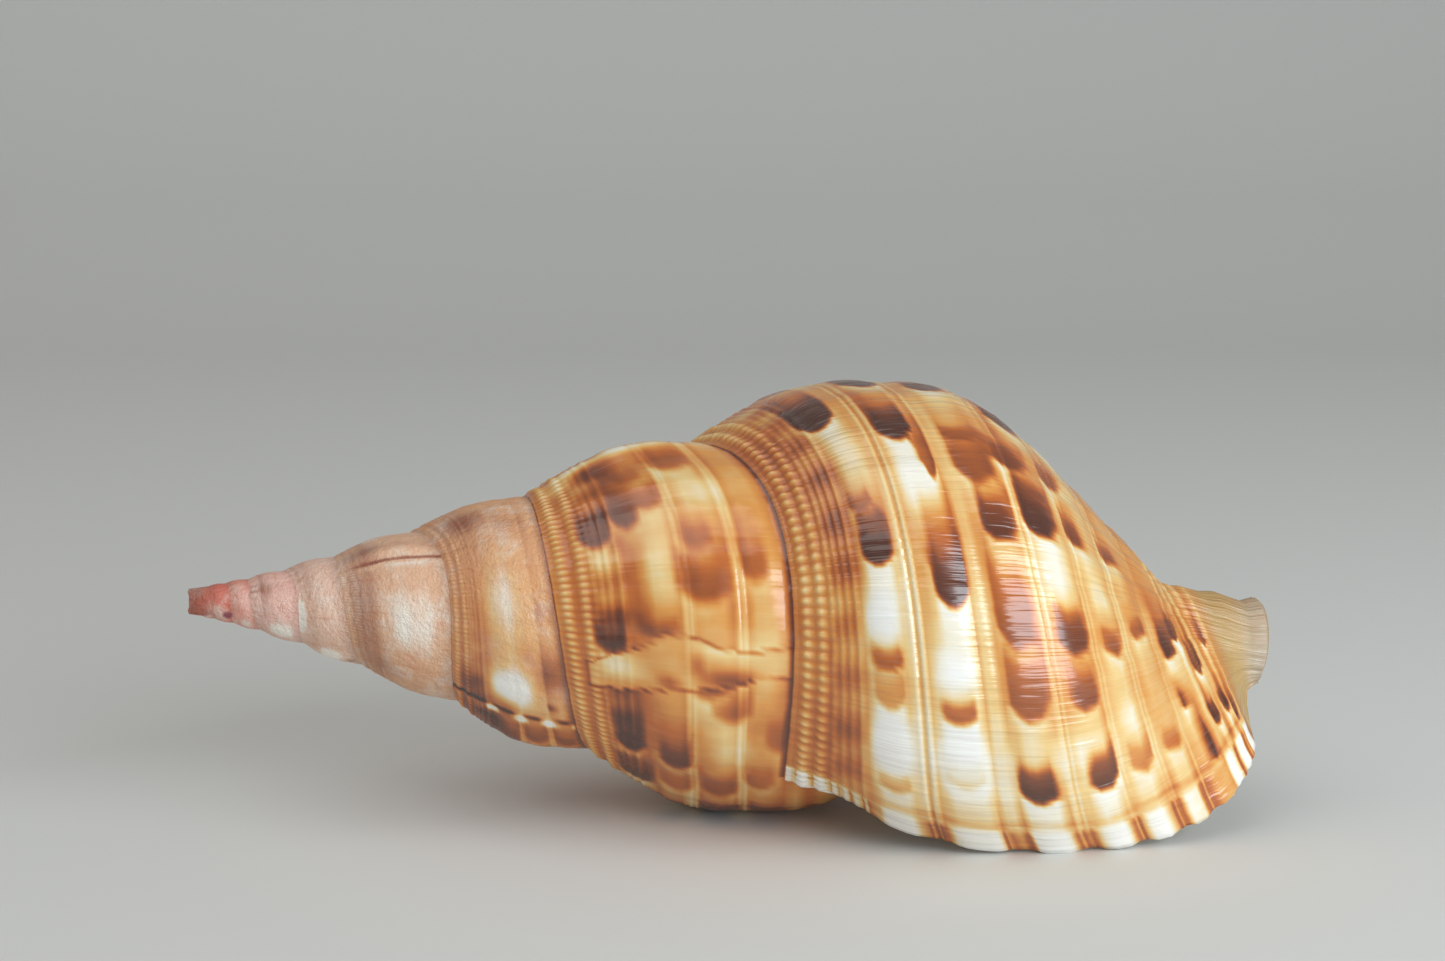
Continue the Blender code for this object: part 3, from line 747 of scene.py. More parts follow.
first_ring = joined(wall[-1, :neck + 1], pillar[-1, ::-1], wall[-1, :1])
first_at = np.concatenate([wall_share[:neck + 1], 3 - base_share[::-1], [3.0]])
ring_at = np.concatenate([ring_share, 3 - back_share[::-1], [3.0]])
skin.strip(first_ring, rings[0], first_at, ring_at)
for k in range(steps - 1):
    skin.strip(rings[k], rings[k + 1], ring_at, ring_at)
last_ring = rings[-1]
here = np.concatenate(skin.points)
middle = skin.add(here[last_ring.index[:-1]].mean(axis=0)[None], CLOSE_TURN, 0.5, 1.0)
skin.fan(last_ring, middle)
print("all triangles", sum(len(t) for t in skin.triangles))

# %% [markdown]
# ## Where the pigment lies
#
# The colour is laid down at the lip as the shell grows, cord by cord. A brown mark ends in a round,
# sharp front toward the lip, fades backward, and white or cream follows ahead of it. A picture would
# have to be unwrapped round the coil, and noise alone makes no rows, so each mark is a front in turn
# and share, and everything else comes from the distance behind that front.

# %% Marks on the cords
# Turn of the front, share, half width in share, length in turns, darkness.
SEEN_MARKS = (
    (-0.312, 0.175, 0.042, 0.036, 0.85), (-0.233, 0.188, 0.026, 0.01, 0.45), (-0.22, 0.2, 0.03, 0.01, 0.55),
    (-0.197, 0.204, 0.033, 0.019, 0.92), (-0.13, 0.2, 0.032, 0.01, 0.52), (-0.104, 0.2, 0.03, 0.024, 0.26),
    (-0.042, 0.2, 0.03, 0.01, 0.26), (-0.286, 0.318, 0.037, 0.026, 0.9),
    (-0.253, 0.362, 0.015, 0.038, 0.46), (-0.17, 0.346, 0.034, 0.026, 0.8),
    (-0.192, 0.336, 0.03, 0.008, 0.4), (-0.1, 0.33, 0.033, 0.009, 0.52), (-0.055, 0.33, 0.036, 0.014, 0.18),
    (-0.283, 0.45, 0.034, 0.011, 0.5), (-0.25, 0.456, 0.039, 0.032, 0.52),
    (-0.211, 0.47, 0.032, 0.022, 0.76), (-0.146, 0.462, 0.036, 0.04, 0.46),
    (-0.103, 0.464, 0.036, 0.03, 0.46), (-0.047, 0.458, 0.034, 0.02, 0.92),
    (-0.268, 0.53, 0.03, 0.018, 0.6), (-0.247, 0.55, 0.026, 0.01, 0.46), (-0.218, 0.55, 0.031, 0.026, 0.84),
    (-0.142, 0.565, 0.029, 0.022, 0.64), (-0.106, 0.566, 0.027, 0.02, 0.52),
    (-0.05, 0.571, 0.028, 0.022, 0.84), (-0.272, 0.606, 0.02, 0.02, 0.5),
    (-0.222, 0.622, 0.018, 0.018, 0.55), (-0.138, 0.645, 0.02, 0.014, 0.52),
    (-0.05, 0.646, 0.022, 0.016, 0.34), (-0.222, 0.69, 0.014, 0.014, 0.48),
    (-0.148, 0.706, 0.017, 0.014, 0.46), (-0.05, 0.714, 0.019, 0.014, 0.32),
    (-0.115, 0.769, 0.012, 0.034, 0.84), (-0.07, 0.768, 0.01, 0.012, 0.8),
    (-0.024, 0.776, 0.011, 0.024, 0.84), (-0.14, 0.797, 0.009, 0.03, 0.7),
    (-0.088, 0.822, 0.011, 0.038, 0.62), (-0.042, 0.812, 0.009, 0.014, 0.78),
    (-0.042, 0.846, 0.01, 0.014, 0.78), (-0.028, 0.866, 0.008, 0.018, 0.6),
    (-0.12, 0.862, 0.008, 0.05, 0.4), (-0.36, 0.33, 0.04, 0.032, 0.8), (-0.352, 0.455, 0.034, 0.028, 0.75),
    (-0.32, 0.56, 0.028, 0.03, 0.75), (-0.345, 0.64, 0.02, 0.02, 0.6), (-1.232, 0.104, 0.032, 0.03, 0.58),
    (-1.246, 0.172, 0.03, 0.04, 0.42), (-1.262, 0.222, 0.03, 0.026, 0.38),
    (-1.122, 0.108, 0.03, 0.018, 0.8), (-1.138, 0.204, 0.036, 0.012, 0.38),
    (-1.172, 0.3, 0.048, 0.03, 0.34), (-1.216, 0.296, 0.03, 0.024, 0.32),
    (-1.19, 0.396, 0.026, 0.024, 0.36), (-1.312, 0.3, 0.042, 0.03, 0.32), (-1.3, 0.205, 0.03, 0.02, 0.3),
    (-1.088, 0.302, 0.034, 0.014, 0.5), (-1.066, 0.345, 0.036, 0.02, 0.34),
    (-0.996, 0.128, 0.03, 0.036, 0.84), (-0.99, 0.228, 0.034, 0.03, 0.74),
    (-1.036, 0.44, 0.026, 0.028, 0.28), (-0.945, 0.225, 0.038, 0.03, 0.36),
    (-0.952, 0.318, 0.04, 0.03, 0.5), (-0.978, 0.405, 0.034, 0.034, 0.3), (-0.93, 0.13, 0.04, 0.03, 0.7),
    (-0.895, 0.33, 0.04, 0.026, 0.6), (-0.9, 0.42, 0.034, 0.03, 0.6),
)
print("marks placed one by one", len(SEEN_MARKS))

# %% Marks round the far side
def unseen_marks(seed):
    """Marks of the same habit round the far side: steps along each cord, with seeded jitter."""
    rng = np.random.default_rng(seed)
    made = []
    lanes = [(late, early, half * 0.86) for late, early, half, height in CORDS]
    lanes += [(0.80, 0.80, 0.010), (0.84, 0.84, 0.011)]
    for first, last, strength in ((-0.875, -0.375, 1.0), (-1.99, -1.37, 0.92), (-2.98, -2.36, 0.45)):
        for late, early, half in lanes:
            at = first + rng.uniform(0.0, 0.05)
            while at < last:
                length = rng.uniform(0.016, 0.042)
                dark = strength * rng.choice([0.4, 0.7, 0.9, 1.0])
                dark = dark * max(0.4, float(smooth(-2.02, -1.86, at)))
                share = float(drifting(late, early, at)) + rng.uniform(-0.006, 0.006)
                if share < SHARE_SUTURE or first > -1.0:
                    made.append((at, share, half * rng.uniform(0.8, 1.0), length, dark))
                at += rng.uniform(0.045, 0.085)
    return made


MARKS = SEEN_MARKS + tuple(unseen_marks(11))
print("marks", len(MARKS))

# %% Pale and brown patches, and painted glints on the spire
# Turn, share, half length in turns, half width in share, and how far toward brown, or below 0 white.
PATCHES_AND_GLINTS = (
    (-0.16, 0.196, 0.022, 0.04, -0.42), (-0.078, 0.2, 0.024, 0.04, -0.46),
    (-0.075, 0.33, 0.02, 0.048, -0.46), (-0.128, 0.33, 0.022, 0.046, -0.4),
    (-0.248, 0.325, 0.022, 0.04, -0.3), (-0.275, 0.205, 0.026, 0.036, -0.18),
    (-0.078, 0.46, 0.016, 0.04, -0.44), (-0.184, 0.56, 0.02, 0.032, -0.4),
    (-0.078, 0.568, 0.016, 0.03, -0.4), (-0.18, 0.64, 0.016, 0.022, -0.18),
    (-0.09, 0.645, 0.016, 0.022, -0.2), (-0.145, 0.26, 0.1, 0.02, -0.12), (-0.055, 0.095, 0.03, 0.05, 0.12),
    (-0.3, 0.08, 0.06, 0.07, 0.06), (-0.22, 0.13, 0.05, 0.03, 0.08), (-1.215, 0.12, 0.028, 0.026, -0.13),
    (-1.2, 0.22, 0.03, 0.034, -0.2), (-1.275, 0.33, 0.022, 0.045, -0.16), (-1.03, 0.36, 0.02, 0.045, -0.18),
    (-1.13, 0.4, 0.02, 0.04, -0.16), (-1.18, 0.3, 0.06, 0.07, 0.1), (-1.345, 0.07, 0.015, 0.04, -0.22),
    (-1.362, 0.2, 0.006, 0.15, -0.34), (-1.34, 0.2, 0.016, 0.16, 0.12), (-2.05, 0.241, 0.026, 0.075, -0.7),
    (-2.175, 0.235, 0.05, 0.08, -0.24), (-2.25, 0.4, 0.05, 0.05, 0.06), (-2.08, 0.4, 0.035, 0.05, 0.26),
    (-2.028, 0.395, 0.007, 0.018, 0.6), (-2.03, 0.085, 0.03, 0.05, 0.24), (-2.33, 0.18, 0.03, 0.11, 0.24),
    (-2.3, 0.34, 0.024, 0.06, 0.16), (-2.1, 0.32, 0.02, 0.03, 0.14), (-2.16, 0.4, 0.016, 0.03, 0.16),
    (-1.972, 0.3, 0.02, 0.16, 0.1), (-1.955, 0.12, 0.03, 0.09, 0.26), (-3.269, 0.29, 0.004, 0.2, 0.46),
    (-3.256, 0.3, 0.006, 0.18, -0.24), (-3.31, 0.25, 0.028, 0.2, 0.14), (-3.13, 0.3, 0.07, 0.11, -0.34),
    (-3.14, 0.33, 0.02, 0.03, 0.16), (-3.06, 0.26, 0.014, 0.04, 0.12), (-3.12, 0.085, 0.2, 0.05, 0.16),
    # Two white entries on the worn spire are painted highlights: at turn -3.975 a shiny spot low on the
    # whorl, and at -4.11 white along the suture that is partly chipped shell and partly painted glints of
    # light.
    (-3.01, 0.26, 0.03, 0.16, 0.1), (-3.975, 0.25, 0.026, 0.1, -0.7), (-3.955, 0.38, 0.02, 0.05, 0.34),
    (-4.11, 0.03, 0.08, 0.05, -0.8), (-4.25, 0.3, 0.05, 0.2, 0.06), (-5.24, 0.2, 0.04, 0.2, 0.16),
    (-5.02, 0.25, 0.05, 0.15, -0.5), (-6.0, 0.2, 0.06, 0.2, -0.3),
)
# The same inside the healed strip: cream at both ends, and brown where the new shell is thin.
SCAR_PATCHES = (
    (-1.108, 0.13, 0.014, 0.05, -0.16), (-1.13, 0.235, 0.011, 0.024, 0.02), (-1.1, 0.22, 0.007, 0.02, 0.26),
    (-1.133, 0.335, 0.006, 0.06, -0.14), (-1.107, 0.345, 0.01, 0.055, 0.34),
    (-1.118, 0.275, 0.012, 0.012, 0.14),
)
print("patches", len(PATCHES_AND_GLINTS), "and in the strip", len(SCAR_PATCHES))

# %% [markdown]
# ## From fronts to paint
#
# A snail's pigment is darkest just behind its front. Each corner of each triangle gets three numbers
# for it: the shape of the marks, their tone, and a shift toward brown or white. They could be brushed
# on by hand as vertex colours, but numbers worked out from turn and share follow every cord, and the
# material can still decide how crisply a mark is cut.

# %% Pigment from the fronts
OLD_BLUR = 1.9           # how much softer the marks are before the last whorl


def pigment(turn, share):
    """Shape, tone and tail of the marks, and paleness. The shape is 1 from the front back for the mark's
    length and slopes evenly to 0, over a longer way on the older whorls, and the finish cuts it where
    it passes one half; the tone is the darkness of whichever mark is strongest; the tail has faded by
    3.6 lengths; the paleness lies ahead of the front. The front bows back toward its sides."""
    shape, tone, tail, pale = (np.zeros(turn.shape) for _ in range(4))
    for front, at, half, length, strength in MARKS:
        near = np.abs(turn - front) < 4 * length + 0.05
        near = np.flatnonzero(near & (np.abs(share - at) < 1.6 * half))
        u = (share[near] - at) / half
        behind = front - (0.002 + 0.32 * length) * u ** 2 - turn[near]
        blur = 1.0 if front > -0.9 else OLD_BLUR
        across = np.clip(0.5 + (1.0 - np.abs(u)) / (0.5 * blur), 0, 1)
        rising = np.clip(0.5 + behind / (0.014 * blur), 0, 1)
        falling = np.clip(1.5 - behind / (1.15 * length + 0.002), 0, 1)
        core = np.minimum(np.minimum(rising, across), falling)
        stronger = core * (0.4 + strength) > shape[near] * (0.4 + tone[near])
        fading = 1 - 0.4 * np.clip(behind / (1.3 * length), 0, 1)
        tone[near] = np.where(stronger, strength * fading, tone[near])
        shape[near] = np.maximum(shape[near], core)
        faded = strength * smooth(0.2, 0.8, rising) * smooth(0.0, 1.0, across)
        faded = faded * (1 - smooth(0.5 * length, 3.6 * length, behind))
        tail[near] = np.maximum(tail[near], faded)
        ahead = np.exp(np.minimum(behind, 0.0) / 0.018) * (1 - smooth(0.3, 0.9, rising))
        ahead = ahead * smooth(0.0, 1.0, across)
        pale[near] = np.maximum(pale[near], 0.8 * ahead * min(1.0, strength + 0.2))
    return shape, tone, tail, pale * (1 - np.minimum(1.0, 1.2 * tail))


def patches(turn, share, listed=PATCHES_AND_GLINTS):
    """The sum of the listed patches, each a bell along the turn and a flat-topped bell across it."""
    total = np.zeros(turn.shape)
    for at, middle, long, wide, amount in listed:
        near = np.flatnonzero((np.abs(turn - at) < 3 * long) & (np.abs(share - middle) < 1.5 * wide))
        total[near] += amount * bell(turn[near], at, long) * np.exp(-((share[near] - middle) / wide) ** 4)
    return total


some_turns, some_shares = np.array([-0.32, -0.29, -0.5]), np.array([0.175, 0.175, 0.2])
some_pigment = np.round(pigment(some_turns, some_shares), 2)
print("shape, tone, tail and paleness at three places:", some_pigment.tolist())

# %% Paint of the outer skin
def outer_paint(turn, share):
    """Mark shape, mark tone and the shift toward brown or white, for the outer skin."""
    shape, tone, tail, pale = pigment(turn, share)
    cord = np.clip(cord_height(turn, share) / 0.8, 0, 1)
    ridge = np.clip(ridge_height(turn, share), 0, 1.2)
    flat = smooth(0.13, 0.17, share)
    shift = (1 - flat) * (0.20 - 0.28 * ridge) - 0.15 * flat * ridge - 0.42 * pale + 0.30 * tail
    shift = shift + 0.15 * flat * (1 - cord) * (1 - smooth(0.0, 0.35, ridge))
    shift = shift + 0.04 * smooth(-0.95, -1.1, turn)
    rhythm = np.cos(TAU * 27 * turn + 14 * share) * smooth(0.08, 0.1, share) * (1 - flat)
    rhythm = rhythm * smooth(-2.2, -1.9, turn)
    # The listed patches add brown or white, the painted glints on the spire among them.
    shift = shift + patches(turn, share) * (1 - 0.7 * tail) + 0.07 * rhythm
    shift = shift - 0.10 * smooth(-0.13, -0.05, turn) * flat * (1 - smooth(0.6, 0.8, share))
    # The lip: white on the cords, brown where the threads between them reach the edge.
    lip = smooth(-0.0245, -0.0185, turn)
    between = (1 - flat) * (0.7 - 0.7 * smooth(0.1, 0.6, ridge)) * smooth(0.004, 0.02, share)
    groove = (1 - smooth(0.45, 0.95, cord)) * flat + between
    last = smooth(0.74, 0.77, share)
    narrow = smooth(0.35, 0.8, 0.5 - 0.5 * np.cos(TAU * (share - 0.77) / 0.034))
    groove = groove * (1 - last) + last * narrow
    stripes = 0.60 + 0.40 * np.cos(TAU * share / 0.0105)
    shape = shape * (1 - lip) + lip * groove * stripes * (1 - smooth(0.88, 0.92, share))
    tone = tone * (1 - lip) + 0.44 * lip
    shift = shift * (1 - lip) + lip * (0.06 * groove - 0.38 * (1 - groove))
    shift = shift + 0.12 * groove * stripes * smooth(-0.06, -0.03, turn) * (1 - lip) * flat
    rest_line = bell(turn, -0.0275 - 0.002 * np.sin(TAU * share * 5), 0.0024)
    rest_line = rest_line * (1 - smooth(0.86, 0.9, share))
    shift = shift + 0.12 * rest_line * smooth(0.1, 0.2, share)
    # Old breaks: thin brown edges and a calm strip between them.
    cut = healed(turn, share)
    crack = 4 * cut * (1 - cut)
    shape = shape * (1 - 0.9 * cut)
    shift = shift * (1 - 0.7 * cut) + cut * patches(turn, share, SCAR_PATCHES) + 0.24 * crack
    # A dark line with white beads before it marks the varix two whorls back.
    beads = np.exp(-((np.mod(share / 0.105, 1.0) - 0.5) / 0.22) ** 4) * smooth(0.08, 0.12, share)
    shift = shift + 0.55 * bell(turn, -2.004, 0.0035) * (1 - beads)
    shift = shift - 0.75 * beads * bell(turn, -1.996, 0.006)
    # The suture is a thin dark line.
    above = smooth(0.4555, 0.46, share) * smooth(-1.0, -1.005, turn)
    line = np.maximum(above, 1 - smooth(0.0, 0.0035, share))
    line = line * smooth(-3.2, -1.6, turn)
    shape = np.maximum(shape, line)
    tone = np.where(line > 0.3, 0.75, tone)
    return shape, tone, shift


print("shape, tone and shift there:", np.round(outer_paint(some_turns, some_shares), 2).tolist())

# %% Paint inside
def inner_paint(turn, share, side):
    """The same three numbers inside: brown between the teeth, brown under the folds, pale elsewhere."""
    on_wall = side < 1.5
    blocks = np.zeros(turn.shape)
    for at in TEETH:
        blocks = np.maximum(blocks, np.exp(-((share - at) / 0.021) ** 6))
    band = smooth(-0.055, -0.040, turn) * (1 - smooth(-0.010, -0.003, turn))
    tooth = np.clip(teeth(turn, share), 0, 1)
    wall_dark = blocks * band * (1 - tooth)
    fold = folds(-turn, share)
    strip = smooth(0.15, 0.09, -turn) * smooth(0.49, 0.54, share) * (1 - smooth(0.93, 0.99, share))
    pillar_dark = strip * (1 - smooth(0.15, 0.6, fold))
    shape = np.where(on_wall, wall_dark, pillar_dark)
    tone = np.where(on_wall, 0.80, 0.92)
    shift = np.where(on_wall, -0.18 - 0.1 * tooth, -0.14 - 0.16 * fold * strip)
    return shape, tone, shift + 0.10 * smooth(-0.1, -0.5, turn)


inside_sample = inner_paint(np.array([-0.02, -0.02]), np.array([TEETH[0], TEETH[0] + 0.031]), np.ones(2))
print("shape, tone and shift in a tooth pair and between two:", np.round(inside_sample, 2).tolist())

# %% [markdown]
# ## Laying the shell down
#
# A shell that is put down rolls until it lies on its lip and on the whorl beside the aperture.
# Physics would find that pose too, but it is the same each time, so it is written as two small
# turns. The shell goes from millimetres to metres, and the two places it stands on are worn flat.

# %% Pose
ROLL, PITCH = math.radians(-2.0), math.radians(2.5)
SHIFT = (-129.44, 3.91, 53.79)    # mm


def laid_down(points):
    """Rolled about the axis, pitched canal end down, moved over its footprint, in metres."""
    y = points[:, 1] * math.cos(ROLL) - points[:, 2] * math.sin(ROLL)
    z = points[:, 1] * math.sin(ROLL) + points[:, 2] * math.cos(ROLL)
    x = points[:, 0] * math.cos(PITCH) + z * math.sin(PITCH)
    z = -points[:, 0] * math.sin(PITCH) + z * math.cos(PITCH)
    at = np.stack([x, y, z], -1) + np.array(SHIFT)
    at[:, 2] = np.maximum(at[:, 2], 0.0)
    return at / 1000.0


print("canal end of the axis, laid down, m:", np.round(laid_down(np.array([[256.0, 0.0, 0.0]]))[0], 4))

# %% Mesh
def finished_mesh(skin):
    """One closed mesh, its faces outward, with the coil coordinates and the paint on each face corner."""
    triangles, corners = np.concatenate(skin.triangles), np.concatenate(skin.corners)
    used, triangles = np.unique(triangles, return_inverse=True)
    triangles = triangles.reshape(-1, 3)
    points = laid_down(np.concatenate(skin.points)[used])
    coil = corners.reshape(-1, 3)
    turn, share, side = coil.T
    paint = np.zeros(coil.shape)
    out = side < 0.5
    paint[out] = np.stack(outer_paint(turn[out], share[out]), -1)
    paint[~out] = np.stack(inner_paint(turn[~out], share[~out], side[~out]), -1)
    mesh = bpy.data.meshes.new("shell_skin")
    mesh.from_pydata(points.tolist(), [], triangles.tolist())
    for name, values in (("coil", coil), ("paint", paint)):
        layer = mesh.attributes.new(name, "FLOAT_VECTOR", "CORNER")
        layer.data.foreach_set("vector", values.astype(np.float32).ravel())
    work = bmesh.new()
    work.from_mesh(mesh)
    print("edges that aren't shared by two faces:", sum(len(e.link_faces) != 2 for e in work.edges))
    bmesh.ops.recalc_face_normals(work, faces=work.faces)
    if work.calc_volume(signed=True) < 0:
        bmesh.ops.reverse_faces(work, faces=work.faces)
    print("volume, cm3:", round(work.calc_volume(signed=True) * 1e6, 1))
    work.to_mesh(mesh)
    work.free()
    mesh.shade_smooth()
    return mesh


shell_mesh = finished_mesh(skin)
shell = bpy.data.objects.new("triton_shell_skin", shell_mesh)
bpy.context.scene.collection.objects.link(shell)
print("shell", len(shell_mesh.vertices), "vertices", len(shell_mesh.polygons), "triangles")

# %% [markdown]
# ## Finish
#
# Four skins meet on one shell: the glossy last whorls, the chalky worn spire, the thin horny canal
# and the porcelain inside. Four materials would meet in hard steps at face edges, so one material
# mixes them by the coil coordinates. The colour of the glossy part is a ramp from white over gold
# and orange to dark brown, entered at a base value that the paint shifts and the marks push to the
# dark end.

# %% Screen colours
def linear(red, green, blue):
    """0 to 255 screen values as the linear colour that a shader takes."""
    made = []
    for value in (red, green, blue):
        c = value / 255.0
        made.append(c / 12.92 if c <= 0.04045 else ((c + 0.055) / 1.055) ** 2.4)
    return (*made, 1.0)


print("screen grey 188 as a shader takes it:", round(linear(188, 188, 188)[0], 3))

# %% Node helpers
class Wires:
    """Makes nodes in one tree and returns their outputs."""

    def __init__(self, tree):
        self.tree = tree

    def node(self, kind, **settings):
        """A new node of this kind with these settings."""
        made = self.tree.nodes.new(kind)
        for name, value in settings.items():
            setattr(made, name, value)
        return made

    def plug(self, socket, value):
        """Links an output to the socket, or else sets the socket's own value."""
        if isinstance(value, bpy.types.NodeSocket):
            self.tree.links.new(value, socket)
        else:
            socket.default_value = value

    def math(self, operation, *values, clamp=False):
        """One sum, by a Math node."""
        made = self.node("ShaderNodeMath", operation=operation, use_clamp=clamp)
        for socket, value in zip(made.inputs, values):
            self.plug(socket, value)
        return made.outputs[0]

    def times(self, one, two):
        return self.math("MULTIPLY", one, two)

    def plus(self, one, two, clamp=False):
        return self.math("ADD", one, two, clamp=clamp)

    def swing(self, value, amount):
        """A value from 0 to 1 as a swing from minus half the amount to plus half."""
        return self.math("MULTIPLY_ADD", value, amount, -amount / 2)

    def span(self, value, low, high):
        """Smooth 0 to 1 as value goes from low to high."""
        made = self.node("ShaderNodeMapRange", interpolation_type="SMOOTHSTEP")
        for name, v in (("Value", value), ("From Min", low), ("From Max", high)):
            self.plug(made.inputs[name], v)
        return made.outputs["Result"]

    def mix(self, factor, one, two):
        """One where the factor is 0 and two where it is 1."""
        made = self.node("ShaderNodeMix", data_type="RGBA")
        self.plug(made.inputs["Factor"], factor)
        self.plug(made.inputs[6], one)
        self.plug(made.inputs[7], two)
        return made.outputs[2]

    def ramp(self, value, stops):
        """The colour at this value, evenly mixed between the stops."""
        made = self.node("ShaderNodeValToRGB")
        elements = made.color_ramp.elements
        while len(elements) < len(stops):
            elements.new(0.5)
        for element, (at, colour) in zip(elements, stops):
            element.position = at
            element.color = colour
        self.plug(made.inputs[0], value)
        return made.outputs[0]

    def noise(self, vector, scale, detail=3.0, roughness=0.5):
        """Soft noise from 0 to 1 that is finer as the scale grows."""
        made = self.node("ShaderNodeTexNoise")
        self.plug(made.inputs["Vector"], vector)
        for name, v in (("Scale", scale), ("Detail", detail), ("Roughness", roughness)):
            made.inputs[name].default_value = v
        return made.outputs[0]

    def parts(self, name):
        """The three numbers of a vector attribute."""
        made = self.node("ShaderNodeAttribute", attribute_name=name)
        split = self.node("ShaderNodeSeparateXYZ")
        self.tree.links.new(made.outputs["Vector"], split.inputs[0])
        return split.outputs[:3]

    def vector(self, x, y, z):
        """Three numbers as one vector."""
        made = self.node("ShaderNodeCombineXYZ")
        for socket, value in zip(made.inputs, (x, y, z)):
            self.plug(socket, value)
        return made.outputs[0]


print("node helpers:", [name for name in vars(Wires) if not name.startswith("_")])

# %% One material and its coordinates
finish = bpy.data.materials.new("polished_shell")
finish.use_nodes = True
wires = Wires(finish.node_tree)
surface = finish.node_tree.nodes["Principled BSDF"]
turn, share, side = wires.parts("coil")
shape, tone, shift = wires.parts("paint")
place = wires.node("ShaderNodeTexCoord").outputs["Object"]
growth_lines = wires.vector(wires.times(turn, 150.0), wires.times(share, 9.0), 0.0)
clouds = wires.noise(place, 55.0, 3.0)
streaks = wires.noise(growth_lines, 1.0, 3.0, 0.6)
print("vectors on the mesh:", [a.name for a in shell_mesh.attributes if a.data_type == "FLOAT_VECTOR"])

# %% Glossy whorls
BASE_TONE = 0.38
DARKEST = 0.93           # where on the ramp the darkest marks end
GLOSSY = (
    (0.00, linear(254, 252, 246)), (0.14, linear(251, 242, 220)), (0.30, linear(244, 208, 138)),
    (0.45, linear(230, 158, 74)), (0.58, linear(202, 108, 38)), (0.72, linear(142, 68, 27)),
    (0.86, linear(84, 38, 18)), (1.00, linear(52, 25, 15)),
)
noisy = wires.plus(wires.swing(clouds, 0.34), wires.swing(streaks, 0.07))
base_value = wires.plus(wires.plus(shift, noisy), BASE_TONE, clamp=True)
# The marks are cut where their shape passes one half: crisply on the last whorl, softly before it.
soft = wires.math("MULTIPLY_ADD", wires.span(turn, -0.9, -1.05), 0.10, 0.32)
ragged_shape = wires.plus(shape, wires.swing(streaks, 0.24))
mark = wires.span(ragged_shape, wires.math("SUBTRACT", 0.5, soft), wires.plus(0.5, soft))
depth_of_mark = wires.times(mark, tone)
to_dark = wires.times(depth_of_mark, wires.math("SUBTRACT", DARKEST, base_value))
glossy = wires.ramp(wires.plus(base_value, to_dark, clamp=True), GLOSSY)
print("glossy ramp stops", len(GLOSSY))

# %% [markdown]
# ## The worn spire
#
# The first whorls have lost their gloss, and years in the sea have rubbed them down to salmon and
# cream chalk. The glossy ramp made paler would keep the old marks too crisp, so the spire has a ramp
# of its own along the turn, from the tip on, with chalk, rust and the last of the marks over it.

# %% Worn spire
SPIRE = (
    (0.00, linear(206, 96, 76)), (0.12, linear(216, 122, 98)), (0.30, linear(230, 168, 150)),
    (0.55, linear(232, 190, 173)), (0.75, linear(234, 192, 165)), (0.90, linear(230, 178, 140)),
    (1.00, linear(230, 168, 118)),
)
PURPLE_SPOT = (-0.1180, -0.0008, 0.0506)    # metres
spire = wires.ramp(wires.span(turn, -8.0, -2.0), SPIRE)
chalk = wires.span(wires.noise(place, 120.0, 4.0, 0.65), 0.46, 0.72)
spire = wires.mix(wires.times(chalk, 0.60), spire, linear(243, 229, 214))
rust = wires.span(wires.noise(growth_lines, 0.55, 3.0, 0.6), 0.52, 0.75)
spire = wires.mix(wires.times(rust, 0.42), spire, linear(200, 104, 62))
spire = wires.mix(wires.times(depth_of_mark, 0.75), spire, linear(150, 84, 48))
# White where the shift is below zero: pale patches, and the painted glints of light on the spire.
spire = wires.mix(wires.span(shift, -0.02, -0.42), spire, linear(246, 236, 222))
spire = wires.mix(wires.span(shift, 0.04, 0.50), spire, linear(150, 76, 44))
from_spot = wires.node("ShaderNodeVectorMath", operation="DISTANCE")
wires.plug(from_spot.inputs[0], place)
from_spot.inputs[1].default_value = PURPLE_SPOT
spot_edge = wires.plus(from_spot.outputs["Value"], wires.times(clouds, 0.001))
spire = wires.mix(wires.span(spot_edge, 0.0024, 0.0014), spire, linear(132, 44, 62))
young = wires.span(wires.plus(turn, wires.swing(clouds, 0.7)), -2.45, -1.90)
skin_colour = wires.mix(young, spire, glossy)
print("spire ramp stops", len(SPIRE))

# %% [markdown]
# ## The canal and the inside
#
# The canal is thin enough to look horny, and the inside is as smooth as porcelain. Separate materials
# would need a seam that the shell doesn't have. So both are mixed in by share and by side, the number
# that is 0 outside, 1 on the wall's inner face and 2 on the columella.

# %% Canal and inside
INSIDE_TONE, INSIDE_DARKEST = 0.30, 0.94
# The canal, horny yellow turning lilac grey at its end.
horn = wires.mix(wires.span(share, 0.94, 1.0), linear(196, 160, 98), linear(190, 172, 148))
horn = wires.mix(wires.times(wires.span(clouds, 0.4, 0.6), 0.50), horn, linear(186, 136, 74))
horn = wires.mix(wires.times(depth_of_mark, 0.8), horn, linear(110, 58, 32))
on_canal = wires.times(wires.span(share, 0.86, 0.92), wires.span(side, 0.6, 0.4))
skin_colour = wires.mix(on_canal, skin_colour, horn)
